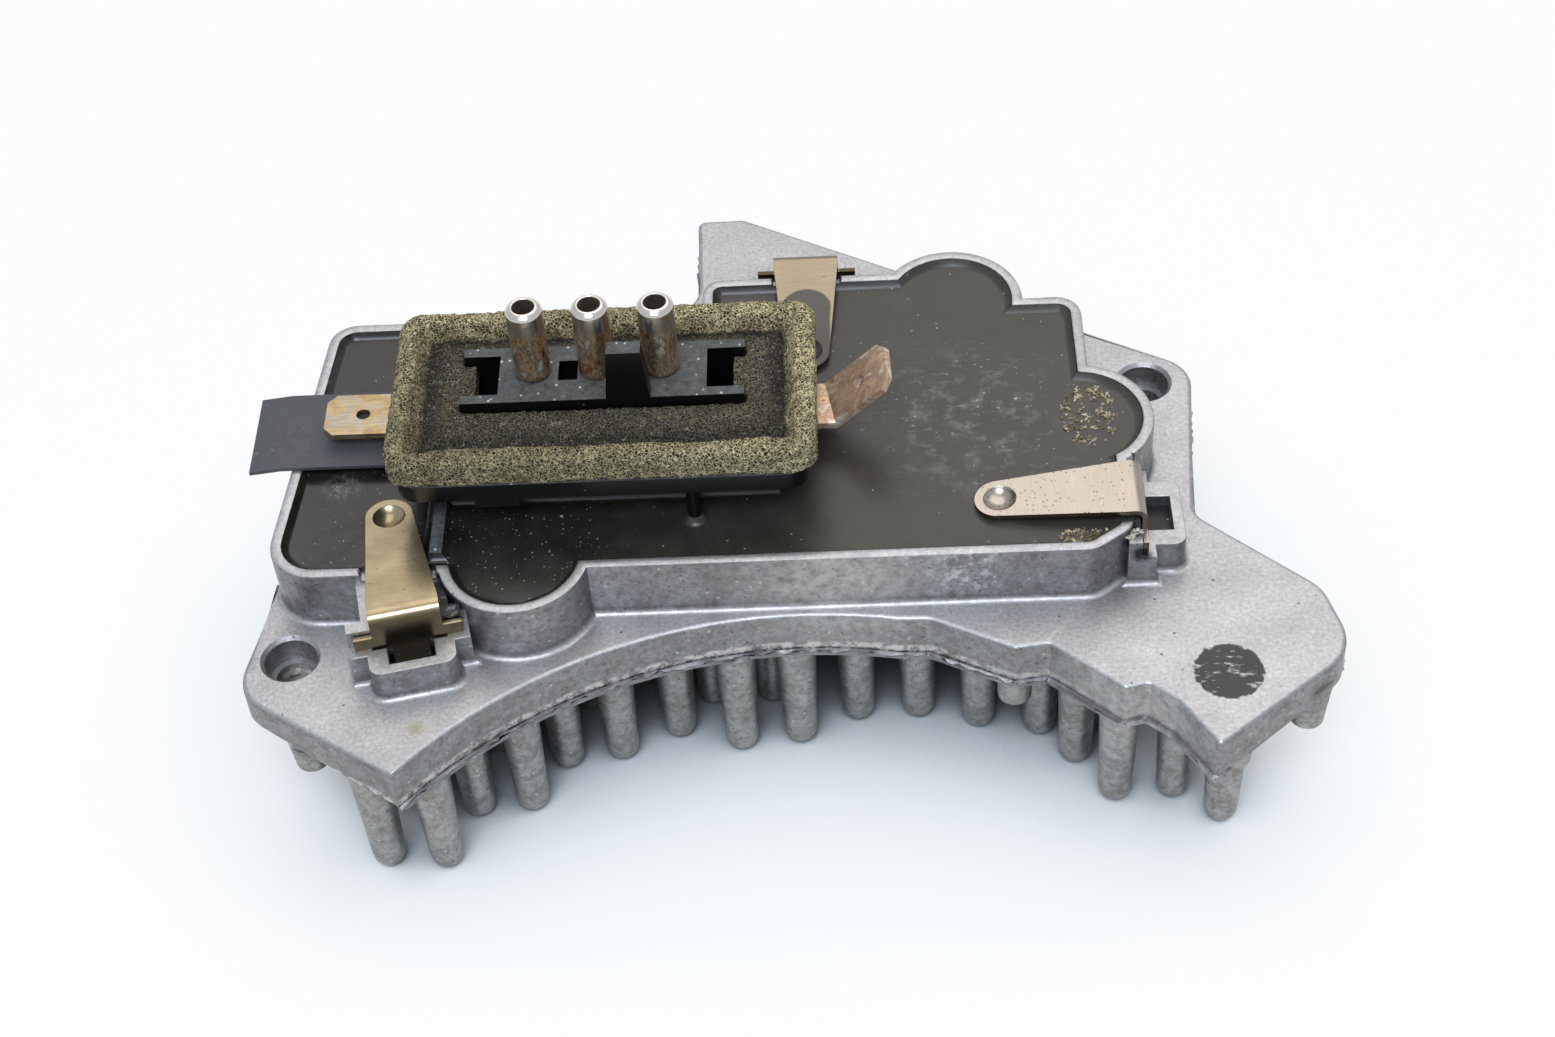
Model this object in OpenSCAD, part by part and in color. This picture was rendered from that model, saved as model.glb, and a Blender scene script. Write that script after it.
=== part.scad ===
// Blower motor resistor: a die-cast heat sink with a potted tray, a sealed plug connector and pin fins.
// Millimetres, +Z up. The origin is midway between the two screw holes, on the plate's seating face.

/* [Mounting] */
// Distance between the two screw holes, left to right
screw_span_x = 95.4; // [92:0.2:100]
// Distance between the two screw holes, front to back
screw_span_y = 37.6; // [35:0.2:41]
// Clearance hole of each screw
screw_d = 4.4; // [3.6:0.1:5]
// Wider recess above each clearance hole
recess_d = 5.8; // [5.4:0.1:7]
// Depth of that recess below the plate's top
recess_depth = 3.4; // [2:0.1:4.4]

/* [Plate] */
// Thickness of the plate
plate_t = 6.3; // [5.8:0.1:8]
// Height of the mould's parting line above the seating face
parting_h = 0.8; // [0.5:0.1:1.5]
// Overhang of the casting's lower half at the parting line
parting_out = 0.3; // [0.1:0.1:0.5]
// Radius of the round bay in the front edge
bay_r = 56; // [52:0.5:60]
// Crown of the bay, from the origin
bay_crown_y = -15.3; // [-16:0.1:-15]
// Reach of the right ear from the origin
ear_x = 66.2; // [63:0.2:69]
// Reach of the rear lobe from the origin
lobe_y = 50.8; // [48:0.2:54]
// Reach of the two front horns from the origin
horn_y = -35.8; // [-37:0.2:-35]

/* [Tray] */
// Height of the tray's rim above the plate
rim_h = 7.5; // [7:0.1:9]
// Thickness of the rim's wall
rim_wall = 1.3; // [1:0.1:1.8]
// Thickness of the tray's floor
floor_t = 4.3; // [3.3:0.1:4.8]
// Left wall of the tray at its front corner
tray_left_x = -48.9; // [-50:0.1:-48]
// Right wall of the tray
tray_right_x = 42.4; // [42:0.1:44]
// Front wall of the tray
tray_front_y = -12.6; // [-13:0.1:-12.4]
// Rear wall of the tray
tray_rear_y = 29.9; // [29:0.1:31]
// Radius of the three round bulges of the tray
bulge_r = 7; // [6.6:0.1:7.4]
// Drop from the rim's top to the potting's surface
fill_drop = 1; // [0.5:0.1:1.5]

/* [Pin fins] */
// Length of a fin below the plate
fin_l = 16.5; // [10:0.5:20]
// Diameter of a fin at its root
fin_root_d = 4.6; // [3.8:0.1:5]
// Diameter of a fin at its tip
fin_tip_d = 3.7; // [2.6:0.1:3.8]
// Spacing of the fins along a row
fin_pitch = 7; // [6.6:0.1:9]
// Least distance from a fin's axis to the plate's edge
fin_edge = 2.3; // [2.2:0.1:4]
// Length of the short stubs near the plate's ends
stub_l = 3; // [2:0.1:6]

/* [Spring clips] */
// Thickness of the spring strip
clip_t = 0.6; // [0.5:0.05:0.8]
// Width of a clip at its bend
clip_w = 7.6; // [7:0.1:8]
// Radius of a clip's round tip
clip_tip_r = 2.6; // [2.4:0.1:3]
// Distance from a clip's leg to its dimple
clip_reach = 15.2; // [14.8:0.1:15.6]
// Length of the two ears on a clip's leg
clip_ear = 2; // [1.4:0.1:2.2]
// Height of the clip pockets above the plate
pocket_h = 4.2; // [3.8:0.1:4.6]
// Wall of the clip pockets
pocket_wall = 1.3; // [1:0.1:1.6]

/* [Connector] */
// Centre of the connector, left to right
conn_x = -13.2; // [-14:0.1:-12.8]
// Centre of the connector, front to back
conn_y = 5; // [4.5:0.1:5.5]
// Width of the connector's flange
flange_w = 44.6; // [43:0.2:46]
// Depth of the connector's flange
flange_d = 24.4; // [23.6:0.2:26]
// Thickness of the connector's flange
flange_t = 2.3; // [1.8:0.1:3]
// Height of the flange above the potting
flange_gap = 4.9; // [4.5:0.1:6]
// Width of the raised contact block
block_w = 31; // [29:0.2:33]
// Depth of the raised contact block
block_d = 8.6; // [8:0.1:9.4]
// Height of the contact block above the flange
block_h = 3.4; // [3:0.1:4]
// Height of the plug's coding key above the flange
key_h = 10; // [8:0.1:11]

/* [Contacts] */
// Diameter of the three round contacts
pin_d = 4; // [3.6:0.1:4.2]
// Bore of the round contacts
pin_bore_d = 2.4; // [1.8:0.1:2.8]
// Height of the round contacts above the block
pin_h = 9.6; // [8.8:0.1:11]
// Spacing of the round contacts
pin_pitch = 7.05; // [6.8:0.05:7.4]
// Width of the two blade terminals
blade_w = 6.3; // [5.8:0.1:6.5]
// Thickness of the two blade terminals
blade_t = 0.8; // [0.6:0.05:1]
// Length of the left blade beyond the flange
blade_out = 9.7; // [8:0.1:11]
// Upward bend of the right blade, in degrees
blade_bend = 47; // [20:1:60]
// Slant of that bend's line, in degrees
blade_slant = 10; // [0:1:15]

/* [Foam gasket] */
// Overhang of the foam past the flange's left and right ends
foam_over = 0.9; // [0:0.1:1.5]
// Inset of the foam from the flange's front and rear edges
foam_inset = 0.1; // [0:0.1:0.6]
// Height of the foam's raised border
foam_h = 3.4; // [2.8:0.1:4.5]
// Width of the foam's raised border
foam_border = 2.9; // [2.5:0.1:3.6]
// Sink of the foam's middle below the border
foam_sink = 1.2; // [0.6:0.1:1.6]

/* [Insulating flap] */
// Width of the flap under the left blade
flap_w = 11.6; // [9:0.2:13]
// Thickness of the flap
flap_t = 0.5; // [0.3:0.05:0.8]
// Length of the flap beyond the rim
flap_over = 3.6; // [2:0.1:5]

/* [Potted parts] */
// Thickness of the circuit board
board_t = 1.6; // [1:0.1:2]
// Height of a power transistor's body
transistor_h = 4.3; // [3.8:0.1:4.6]
// Width of a power transistor's body
transistor_w = 10; // [9:0.1:10.4]
// Thickness of the pad under a transistor
pad_t = 0.3; // [0.2:0.05:0.6]
// Diameter of the two capacitors
cap_d = 11; // [9:0.1:12]
// Height of the two capacitors
cap_h = 7.2; // [6:0.1:7.6]
// Diameter of the choke
choke_d = 11.5; // [10:0.1:12.5]

/* [Hidden] */
$fn = 48;
eps = 0.01;
slip = 0.15;

// Levels, upwards from the seating face
rim_top = plate_t + rim_h;
fill_top = rim_top - fill_drop;
pocket_top = plate_t + pocket_h;
flange_z = fill_top + flange_gap;
flange_top = flange_z + flange_t;
block_top = flange_top + block_h;
cover = 0.5;
transistor_top = fill_top - cover;
pad_z = transistor_top - transistor_h - pad_t;
board_z = floor_t + 3;
board_top = board_z + board_t;

// Screw holes
screws = [[-screw_span_x, -screw_span_y] / 2, [screw_span_x, screw_span_y] / 2];
left_screw = screws[0];
right_screw = screws[1];

// Plate outline: corners with their radii, anticlockwise
bay_x = 7.7;
bay_y = bay_crown_y - bay_r;
bay_end_x = 18.2;
function bay_edge(x) = bay_y + sqrt(max(bay_r * bay_r - (x - bay_x) * (x - bay_x), 0));
plate_corners = [
    [left_screw[0] - 5.6, left_screw[1] - 4.7, 5.5],
    [left_screw[0] + 13.4, horn_y, 0],
    [bay_end_x, horn_y, 0],
    [bay_end_x, bay_edge(bay_end_x), 0],
    [21.4, bay_edge(bay_end_x) - 0.1, 3],
    [30.3, bay_crown_y - 5.6, 0.8],
    [33.9, bay_crown_y - 5.1, 0.8],
    [41.4, bay_crown_y - 11.6, 0.8],
    [43.9, bay_crown_y - 11, 0.8],
    [46.6, bay_crown_y - 13.3, 2],
    [50.4, horn_y + 1, 0.6],
    [ear_x, -22.5, 6],
    [ear_x - 2.4, -13.6, 5],
    [51.2, -2.2, 3],
    [right_screw[0] + 5.8, right_screw[1] + 2.4, 4.5],
    [0.8, lobe_y, 2],
    [-4.9, lobe_y - 0.1, 1],
    [-4.4, tray_rear_y + 5.2, 5],
    [-12, tray_rear_y + 2, 0],
    [-12, 0, 0],
    [tray_left_x, -2, 0]
];

// Bevels of the plate's lower edge: first corner, and insets on the seating face
horn_corner = 10;
left_bevel = [3, 0.8];
right_bevel = [0.6, 2.4];

// Tray outline along the inside of the rim, and the centres of its round bulges
tray_step_x = -2.1;
tray_step_y = tray_rear_y - 5.4;
tray_ear_x = tray_right_x - 3.1;
tray_ear_y = tray_rear_y - 5.2;
tray_corners = [
    [tray_left_x, tray_front_y, 4],
    [tray_right_x - 3.6, tray_front_y, 2],
    [tray_right_x, tray_front_y + 2.6, 2],
    [tray_right_x, 1.6, 0],
    [tray_ear_x, 6, 0],
    [tray_ear_x, tray_ear_y, 1.6],
    [30, tray_ear_y, 0],
    [27, tray_rear_y, 0],
    [tray_step_x, tray_rear_y, 1],
    [tray_step_x, tray_step_y, 1.2],
    [tray_left_x + 3.3, tray_step_y, 2]
];
front_bulge = [-23, tray_front_y + 1];
right_bulge = [tray_ear_x - 0.3, 6.2];
rear_bulge = [25.7, tray_rear_y - 3.6];
bulges = [front_bulge, right_bulge, rear_bulge];

// Clip stations: place of the leg, direction, free length of the pocket in front and rise of the shoulders
left_station = [-34, tray_front_y - 7.4, 12, 3.1, 2.2];
right_station = [tray_right_x + 2.1, -5.9, 90, 3.6, 2.2];
rear_station = [8.8, tray_rear_y + 3.7, 180, 3, 0];
stations = [left_station, right_station, rear_station];

// Spring clip: heights of its strip, leg and ears, and its spherical dimple
clip_bend_z = rim_top + 0.65;
clip_tip_z = fill_top + 0.1;
clip_bend_r = 0.8;
clip_length = clip_reach + clip_tip_r;
clip_neck = 1.5;
dimple_r = 3;
ear_z = pocket_top;
ear_t = 1.6;
tongue_w = 4;
tongue_z = ear_z - 2;
pocket_floor = plate_t + 1;
pocket_fill = pocket_top - 1.6;
pocket_slot = tongue_w + 0.9;
pocket_arm = 2.25;
pocket_w = pocket_slot + 2 * pocket_arm;
pocket_r = 1.4;
shoulder_w = clip_w + 2 * clip_ear + 1.2;
shoulder_out = 1.5;
shoulder_in = 1.6;
neck_in = 8;

// Transistors lie along their clips, with the dimple over the middle
transistor_l = 10.4;
lead_pitch = 2.54;
lead_w = 0.9;
lead_t = 0.6;
lead_l = 3;
rear_front_y = rear_station[1] - clip_reach - transistor_l / 2;

left_dimple_x = left_station[0] - clip_reach * sin(left_station[2]);

// Connector, with its skirt beside the left transistor and in front of the rear one
flange_r = 2.5;
skirt_gap = 0.86;
skirt_w = 2 * (conn_x - left_dimple_x - transistor_w / 2 - skirt_gap);
skirt_d = 2 * (rear_front_y - cover - conn_y);
skirt_wall = 1.5;
skirt_z = fill_top - 3;
block_y = conn_y + 1.2;
rib_t = 1.3;
web_w = block_w - 8.2;
end_window_w = 2.8;
pin_y = block_y + 0.4;
pin_x = [for (i = [-1:1]) conn_x - 0.6 + i * pin_pitch];
pin_foot_d = pin_d - 0.8;
pin_step = 0.2;
pin_tail_d = 1.4;
pin_tail_z = board_z - 0.6;
key_x = (pin_x[1] + pin_x[2]) / 2;
key_t = 1.9;
key_foot_w = 5.4;
key_top_w = 3.7;
arm_w = 1.4;

// Blade terminals
blade_y = conn_y + 2.9;
blade_z = flange_z - 1.9;
blade_hole_d = 1.5;
blade_hole_in = 4.3;
blade_chamfer = 1.1;
blade_left_tip = conn_x - flange_w / 2 - blade_out;
blade_right_bend = conn_x + flange_w / 2 + 2.3;
blade_right_y = pin_y + 0.2;
blade_right_l = 9;
blade_root = 3.4;

// Foam gasket
foam_w = flange_w + 2 * foam_over;
foam_d = flange_d - 2 * foam_inset;
foam_r = 2.5;
foam_z = flange_top;
groove_w = 1.6;
groove_depth = 0.8;

// Flap
flap_end_x = conn_x - skirt_w / 2;
flap_bend_x = tray_left_x - rim_wall + 0.2;
flap_droop = 8;

// Circuit board, with its front edge behind the front capacitor
board_front = front_bulge[1] + cap_d / 2 + 0.5;
board_rear = pin_y + 3.6;
board_left = conn_x - skirt_w / 2 + skirt_wall + 0.4;
board_right = conn_x + skirt_w / 2 - skirt_wall - 0.4;

// Choke
choke_h = 7;
choke_rim = 1.4;
choke_core_d = 5;

// Fins: the front ones by their x and their distance behind the bay's round edge, then a field
fin_row = fin_pitch * 0.87;
fin_field_y = horn_y - 2.3;
fin_field_rows = 15;
fin_field_cols = 9;
fin_field_end = 46;
fin_gap = 5.8;
fin_front_edge = 1.2;
front_fins = bay_points([
    [-39.3, 11.7], [-32.8, 3], [-29.7, 6.9], [-23.7, 2.8], [-20, 6.3], [-13.8, 4.3],
    [-7.3, 5], [-0.1, 1.4], [6.6, 1.6], [13.2, 4.9], [20.1, 6.1], [26.9, 6.4],
    [33.8, 8], [37.5, 6], [41.5, 3.3], [47.9, 9.1], [52.8, 11.4]
]);
stubs = bay_points([[-46.1, 30.5], [53.1, 9.6], [61.5, 31.8]]);
edge_bosses = bay_points([[30.5, 1.8]]);
edge_boss_l = 1.4 * stub_l;
field_fins = [
    for (row = [0:fin_field_rows - 1], col = [-fin_field_cols:fin_field_cols])
        [(col + (row % 2) / 2) * fin_pitch, fin_field_y + row * fin_row]
];
fin_screw_room = 7;
stub_screw_room = 5.5;

// Geometry helpers
function xy(p) = [p[0], p[1]];
function unit(v) = v / norm(v);
function wrap(c, i) = c[(i + len(c)) % len(c)];
function side(a, b) = unit([b[1] - a[1], a[0] - b[0]]);
function turn(a, b, c) = (b[0] - a[0]) * (c[1] - b[1]) - (b[1] - a[1]) * (c[0] - b[0]);

// Points of one corner, rounded by its own radius
function corner(a, b, c, steps = 8) =
    let (u = unit(xy(a) - xy(b)), v = unit(xy(c) - xy(b)), half = acos(u * v) / 2)
    b[2] < eps ? [xy(b)] :
    let (centre = xy(b) + unit(u + v) * b[2] / sin(half))
    let (from = xy(b) + u * b[2] / tan(half) - centre, to = xy(b) + v * b[2] / tan(half) - centre)
    let (start = atan2(from[1], from[0]), raw = atan2(to[1], to[0]) - start)
    let (sweep = raw > 180 ? raw - 360 : raw < -180 ? raw + 360 : raw)
    [for (k = [0:steps]) centre + b[2] * [cos(start + sweep * k / steps), sin(start + sweep * k / steps)]];

// Outline with all its corners rounded
function rounded(c) = [for (i = [0:len(c) - 1]) each corner(wrap(c, i - 1), c[i], wrap(c, i + 1))];

// Corners moved outwards by a wall's thickness
function grown(c, wall) = [
    for (i = [0:len(c) - 1])
        let (a = wrap(c, i - 1), b = c[i], d = wrap(c, i + 1), m = side(a, b), n = side(b, d))
        let (p = xy(b) + wall * (m + n) / (1 + m * n), r = b[2] + (turn(a, b, d) > 0 ? wall : -wall))
        [p[0], p[1], b[2] < eps ? 0 : max(r, 0)]
];

// Whether a point lies inside an outline, and how far it is from the outline's edge
function crossings(p, c) = [
    for (i = [0:len(c) - 1])
        let (a = c[i], b = wrap(c, i + 1))
        if ((a[1] > p[1]) != (b[1] > p[1]) && p[0] < a[0] + (p[1] - a[1]) * (b[0] - a[0]) / (b[1] - a[1])) i
];
function inside(p, c) = len(crossings(p, c)) % 2 == 1;
function edge_gap(p, a, b) =
    let (d = b - a, s = max(0, min(1, (p - a) * d / (d * d)))) norm(p - a - s * d);
function room(p, c) =
    inside(p, c) ? min([for (i = [0:len(c) - 1]) edge_gap(p, xy(c[i]), xy(wrap(c, i + 1)))]) : -1;
function bay_points(list) = [for (p = list) [p[0], bay_edge(p[0]) + p[1]]];
function fin_fits(p, margin, screw_room) =
    max(room(p, plate_corners), room(p, grown(tray_corners, rim_wall))) >= margin
    && (p[0] > bay_end_x || norm(p - [bay_x, bay_y]) >= bay_r + margin)
    && min([for (s = screws) norm(p - s)]) >= screw_room;
front_row = [for (p = front_fins) if (fin_fits(p, fin_front_edge, fin_screw_room)) p];
stub_row = [for (p = stubs) if (fin_fits(p, fin_front_edge, stub_screw_room)) p];
boss_row = [for (p = edge_bosses) if (fin_fits(p, fin_front_edge, stub_screw_room)) p];
spaced = concat(front_row, stub_row, boss_row);
field = [
    for (p = field_fins)
        let (gap = min([for (q = spaced) norm(p - q)]))
        if (p[0] < fin_field_end && gap >= fin_gap && fin_fits(p, fin_edge, fin_screw_room)) p
];

// Flat outlines
module tray_2d(wall) {
    polygon(rounded(grown(tray_corners, wall)));
    for (b = bulges) translate(b) circle(r = bulge_r + wall);
}

module plate_2d(grow) {
    difference() {
        polygon(rounded(grown(plate_corners, grow)));
        intersection() {
            translate([bay_x, bay_y]) circle(r = bay_r - grow, $fn = 160);
            translate([bay_end_x + grow - 2 * bay_r, bay_y]) square([2 * bay_r, 2 * bay_r]);
        }
    }
    tray_2d(rim_wall + grow);
}

module rounded_rect(w, d, r) {
    polygon(rounded([[-w / 2, -d / 2, r], [w / 2, -d / 2, r], [w / 2, d / 2, r], [-w / 2, d / 2, r]]));
}

module block_2d(gap) {
    for (s = [-1, 1]) {
        translate([conn_x - block_w / 2 - gap, block_y + s * (block_d - rib_t) / 2 - rib_t / 2 - gap])
            square([block_w + 2 * gap, rib_t + 2 * gap]);
    }
    translate([conn_x - web_w / 2 - gap, block_y - block_d / 2 + eps])
        square([web_w + 2 * gap, block_d - 2 * eps]);
}

// Openings between the ribs at both ends of the contact block
module end_windows_2d() {
    for (s = [-1, 1])
        translate([conn_x + s * (web_w + end_window_w) / 2, block_y])
            square([end_window_w, block_d - 2 * rib_t], center = true);
}

module box(low, high) {
    translate(low) cube(high - low);
}

module at_station(s) {
    translate([s[0], s[1], 0]) rotate([0, 0, s[2]]) children();
}

// Casting around one clip: a ledge under each ear, shoulders behind it and a pocket in front
module pocket_block(s) {
    depth = s[3] + pocket_wall + pocket_r;
    shoulder_top = pocket_top + s[4];
    at_station(s) {
        box([-shoulder_w / 2, -shoulder_out, floor_t], [shoulder_w / 2, shoulder_in, pocket_top]);
        box([-shoulder_w / 2, slip, floor_t], [shoulder_w / 2, shoulder_in, shoulder_top]);
        box([-pocket_w / 2, slip, floor_t], [pocket_w / 2, neck_in, shoulder_top]);
        translate([0, pocket_r - depth / 2, floor_t]) linear_extrude(pocket_top - floor_t)
            rounded_rect(pocket_w, depth, pocket_r);
    }
}

module pocket_well(s, top) {
    leg_w = clip_w + 2 * slip;
    at_station(s) {
        box([-leg_w / 2, -clip_t - slip, pocket_floor], [leg_w / 2, slip, top]);
        box([-pocket_slot / 2, -s[3], pocket_floor], [pocket_slot / 2, 0, top]);
    }
}

module ear_notch(s) {
    half = clip_w / 2 + clip_ear + slip;
    at_station(s) box([-half, -clip_t - slip, ear_z], [half, slip, rim_top + clip_t]);
}

// Clearance in the rim where a clip's strip passes over it
module rim_notch(s) {
    half = clip_w / 2 + slip;
    at_station(s) box([-half, 0, rim_top - 0.8], [half, clip_reach, rim_top + 1]);
}

module pedestal(s) {
    at_station(s) translate([0, clip_reach, floor_t - eps]) linear_extrude(pad_z - floor_t + eps)
        square([transistor_w + 2, transistor_l + 2], center = true);
}

module fin(p) {
    translate([p[0], p[1], -fin_l + fin_tip_d / 2]) {
        cylinder(h = fin_l - fin_tip_d / 2 + parting_h / 2, d1 = fin_tip_d, d2 = fin_root_d, $fn = 24);
        sphere(d = fin_tip_d, $fn = 24);
    }
}

module stub(p, length) {
    translate([p[0], p[1], -length])
        cylinder(h = length + plate_t / 2, d1 = fin_tip_d, d2 = fin_root_d, $fn = 24);
}

module screw_hole(p) {
    lip = 0.4;
    translate([p[0], p[1], -eps]) cylinder(h = plate_t + 2 * eps, d = screw_d);
    translate([p[0], p[1], plate_t - recess_depth]) cylinder(h = recess_depth + eps, d = recess_d);
    translate([p[0], p[1], plate_t - lip]) cylinder(h = lip + eps, d1 = recess_d, d2 = recess_d + 2 * lip);
}

// Bevel along the plate's lower edge from one of its corners to the next, with an inset at each
module edge_bevel(i, insets) {
    from = xy(plate_corners[i]);
    to = xy(plate_corners[i + 1]);
    inward = -side(from, to);
    a = from + insets[0] * inward;
    b = to + insets[1] * inward;
    over = 2 * plate_t;
    translate([a[0], a[1], 0]) rotate([0, 0, atan2(b[1] - a[1], b[0] - a[0])]) rotate([45, 0, 0])
        translate([-over, -over, -over]) cube([norm(b - a) + 2 * over, over, 2 * over]);
}

// One aluminium casting: plate, rim, clip pockets, transistor pedestals and pin fins
module heat_sink() {
    color("darkgray") {
        difference() {
            union() {
                linear_extrude(plate_t) plate_2d(0);
                linear_extrude(parting_h) plate_2d(parting_out);
                linear_extrude(rim_top) tray_2d(rim_wall);
                for (s = stations) pocket_block(s);
            }
            difference() {
                translate([0, 0, floor_t]) linear_extrude(rim_top) tray_2d(0);
                for (s = stations) pedestal(s);
            }
            for (s = stations) {
                pocket_well(s, rim_top);
                ear_notch(s);
                rim_notch(s);
            }
            for (s = screws) screw_hole(s);
            edge_bevel(0, left_bevel);
            edge_bevel(horn_corner, right_bevel);
        }
        for (p = concat(front_row, field)) fin(p);
        for (p = stub_row) stub(p, stub_l);
        for (p = boss_row) stub(p, edge_boss_l);
    }
}

// Black compound that fills the tray and the pockets around everything set in it
module potting() {
    color("dimgray") difference() {
        union() {
            translate([0, 0, floor_t]) linear_extrude(fill_top - floor_t) tray_2d(0);
            for (s = stations) pocket_well(s, pocket_fill);
        }
        for (s = stations) {
            pedestal(s);
            clip_shape(s);
            transistor_shape(s);
            pad_shape(s);
        }
        connector_shape();
        for (i = [0:2]) contact_pin_shape(i);
        blade_left_shape();
        blade_right_shape();
        board_shape();
        control_chip_shape();
        shunt_shape();
        capacitor_shape(front_bulge);
        capacitor_shape(right_bulge);
        choke_core_shape();
        choke_winding_shape();
    }
}

// Moulded connector: flange, contact block with coding key, and a skirt that stands in the potting
module connector_shape() {
    difference() {
        union() {
            translate([conn_x, conn_y, flange_z]) linear_extrude(flange_t)
                rounded_rect(flange_w, flange_d, flange_r);
            translate([0, 0, flange_z]) linear_extrude(flange_t + block_h) block_2d(0);
            translate([conn_x, conn_y, skirt_z]) linear_extrude(flange_z - skirt_z + eps) difference() {
                square([skirt_w, skirt_d], center = true);
                square([skirt_w - 2 * skirt_wall, skirt_d - 2 * skirt_wall], center = true);
            }
            coding_key();
            locating_arm();
            flange_feet();
        }
        for (x = pin_x) translate([x, pin_y, flange_z - 1]) cylinder(h = block_top, d = pin_foot_d);
        translate([0, 0, flange_z - eps]) linear_extrude(flange_t + 2 * eps) end_windows_2d();
        key_window();
        blade_slots();
    }
}

module coding_key() {
    front = block_y - block_d / 2;
    translate([key_x, front + key_t, flange_top - eps]) rotate([90, 0, 0]) linear_extrude(key_t) polygon([
        [-key_foot_w / 2, 0], [key_foot_w / 2, 0], [key_top_w / 2, key_h], [-key_top_w / 2, key_h]
    ]);
}

module key_window() {
    window_w = 2.1;
    window_d = 3;
    x = (pin_x[0] + pin_x[1]) / 2 + 0.3;
    translate([x - window_w / 2, pin_y - window_d / 2, flange_top]) cube([window_w, window_d, block_h + 1]);
}

// Arm that lies on the potting and reaches from the skirt's left wall to the rim
module locating_arm() {
    left = conn_x - skirt_w / 2 - arm_w + 0.4;
    arm_top = fill_top + 0.8;
    box([left, tray_front_y + 1.8, fill_top - cover / 2], [left + arm_w, conn_y, arm_top]);
}

// Round foot and small latch tab under the flange's front edge
module flange_feet() {
    front = conn_y - flange_d / 2;
    translate([conn_x + 9.6, front + 0.9, skirt_z]) cylinder(h = flange_z - skirt_z + eps, d = 1.5);
    box([conn_x - 13.9, front + 0.1, flange_z - 1.2], [conn_x - 9, front + 2, flange_z + eps]);
}

module blade_slots() {
    half = blade_w / 2 + slip;
    top = blade_z + blade_t + slip;
    box([conn_x - skirt_w, blade_y - half, blade_z - slip], [conn_x, blade_y + half, top]);
    box([conn_x, blade_right_y - half, blade_z - slip], [conn_x + skirt_w, blade_right_y + half, top]);
}

module connector_body() {
    color("#1c1c1e") connector_shape();
}

// Foam pad on the flange, open around the contact block, with a track pressed in by the plug's housing
module foam_gasket() {
    middle_h = foam_h - foam_sink;
    inner_w = foam_w - 2 * foam_border;
    inner_d = foam_d - 2 * foam_border;
    color("#6f6848") translate([0, 0, foam_z]) difference() {
        linear_extrude(foam_h) difference() {
            translate([conn_x, conn_y]) rounded_rect(foam_w, foam_d, foam_r);
            block_2d(slip);
            end_windows_2d();
            translate([key_x, block_y - block_d / 2])
                square([key_foot_w + 2 * slip, 2 * slip], center = true);
        }
        translate([conn_x, conn_y, middle_h]) linear_extrude(foam_h) rounded_rect(inner_w, inner_d, 1.5);
        translate([conn_x, conn_y, middle_h - groove_depth]) linear_extrude(foam_h) difference() {
            rounded_rect(inner_w, inner_d, 1.5);
            rounded_rect(inner_w - 2 * groove_w, inner_d - 2 * groove_w, 1);
        }
    }
}

// Hollow round contact with a chamfered mouth, a foot in the block and a thin tail down to the board
module contact_pin_shape(i) {
    top = block_top + pin_h;
    free_z = block_top + pin_step;
    lip = 0.5;
    translate([pin_x[i], pin_y, 0]) difference() {
        union() {
            translate([0, 0, flange_z - 1]) cylinder(h = free_z - flange_z + 1, d = pin_foot_d);
            translate([0, 0, free_z]) cylinder(h = top - lip - free_z, d = pin_d);
            translate([0, 0, top - lip]) cylinder(h = lip, d1 = pin_d, d2 = pin_d - 2 * lip);
            translate([0, 0, pin_tail_z]) cylinder(h = flange_z - pin_tail_z, d = pin_tail_d);
        }
        translate([0, 0, block_top + 1]) cylinder(h = pin_h, d = pin_bore_d);
    }
}

module contact_pin(i) {
    color("#8a6f45") contact_pin_shape(i);
}

module contact_pin_left() { contact_pin(0); }
module contact_pin_middle() { contact_pin(1); }
module contact_pin_right() { contact_pin(2); }

// Flat blade from a slanted root edge to a tip with cut corners and a locking hole
module blade_plate(length, slant_x, lap) {
    half = blade_w / 2;
    linear_extrude(blade_t) difference() {
        polygon([
            [slant_x - lap, -half], [length - blade_chamfer, -half], [length, -half + blade_chamfer],
            [length, half - blade_chamfer], [length - blade_chamfer, half], [-slant_x - lap, half]
        ]);
        translate([length - blade_hole_in, 0]) circle(d = blade_hole_d);
    }
}

// Leg from a blade's root down to the board
module blade_leg(x, y) {
    box([x, y - blade_root / 2, board_top], [x + blade_t, y + blade_root / 2, blade_z + blade_t]);
}

module blade_left_shape() {
    root = conn_x - skirt_w / 2 + skirt_wall + 2;
    translate([root, blade_y, blade_z]) mirror([1, 0, 0]) blade_plate(root - blade_left_tip, 0, 0);
    blade_leg(root - blade_t, blade_y);
}

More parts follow.
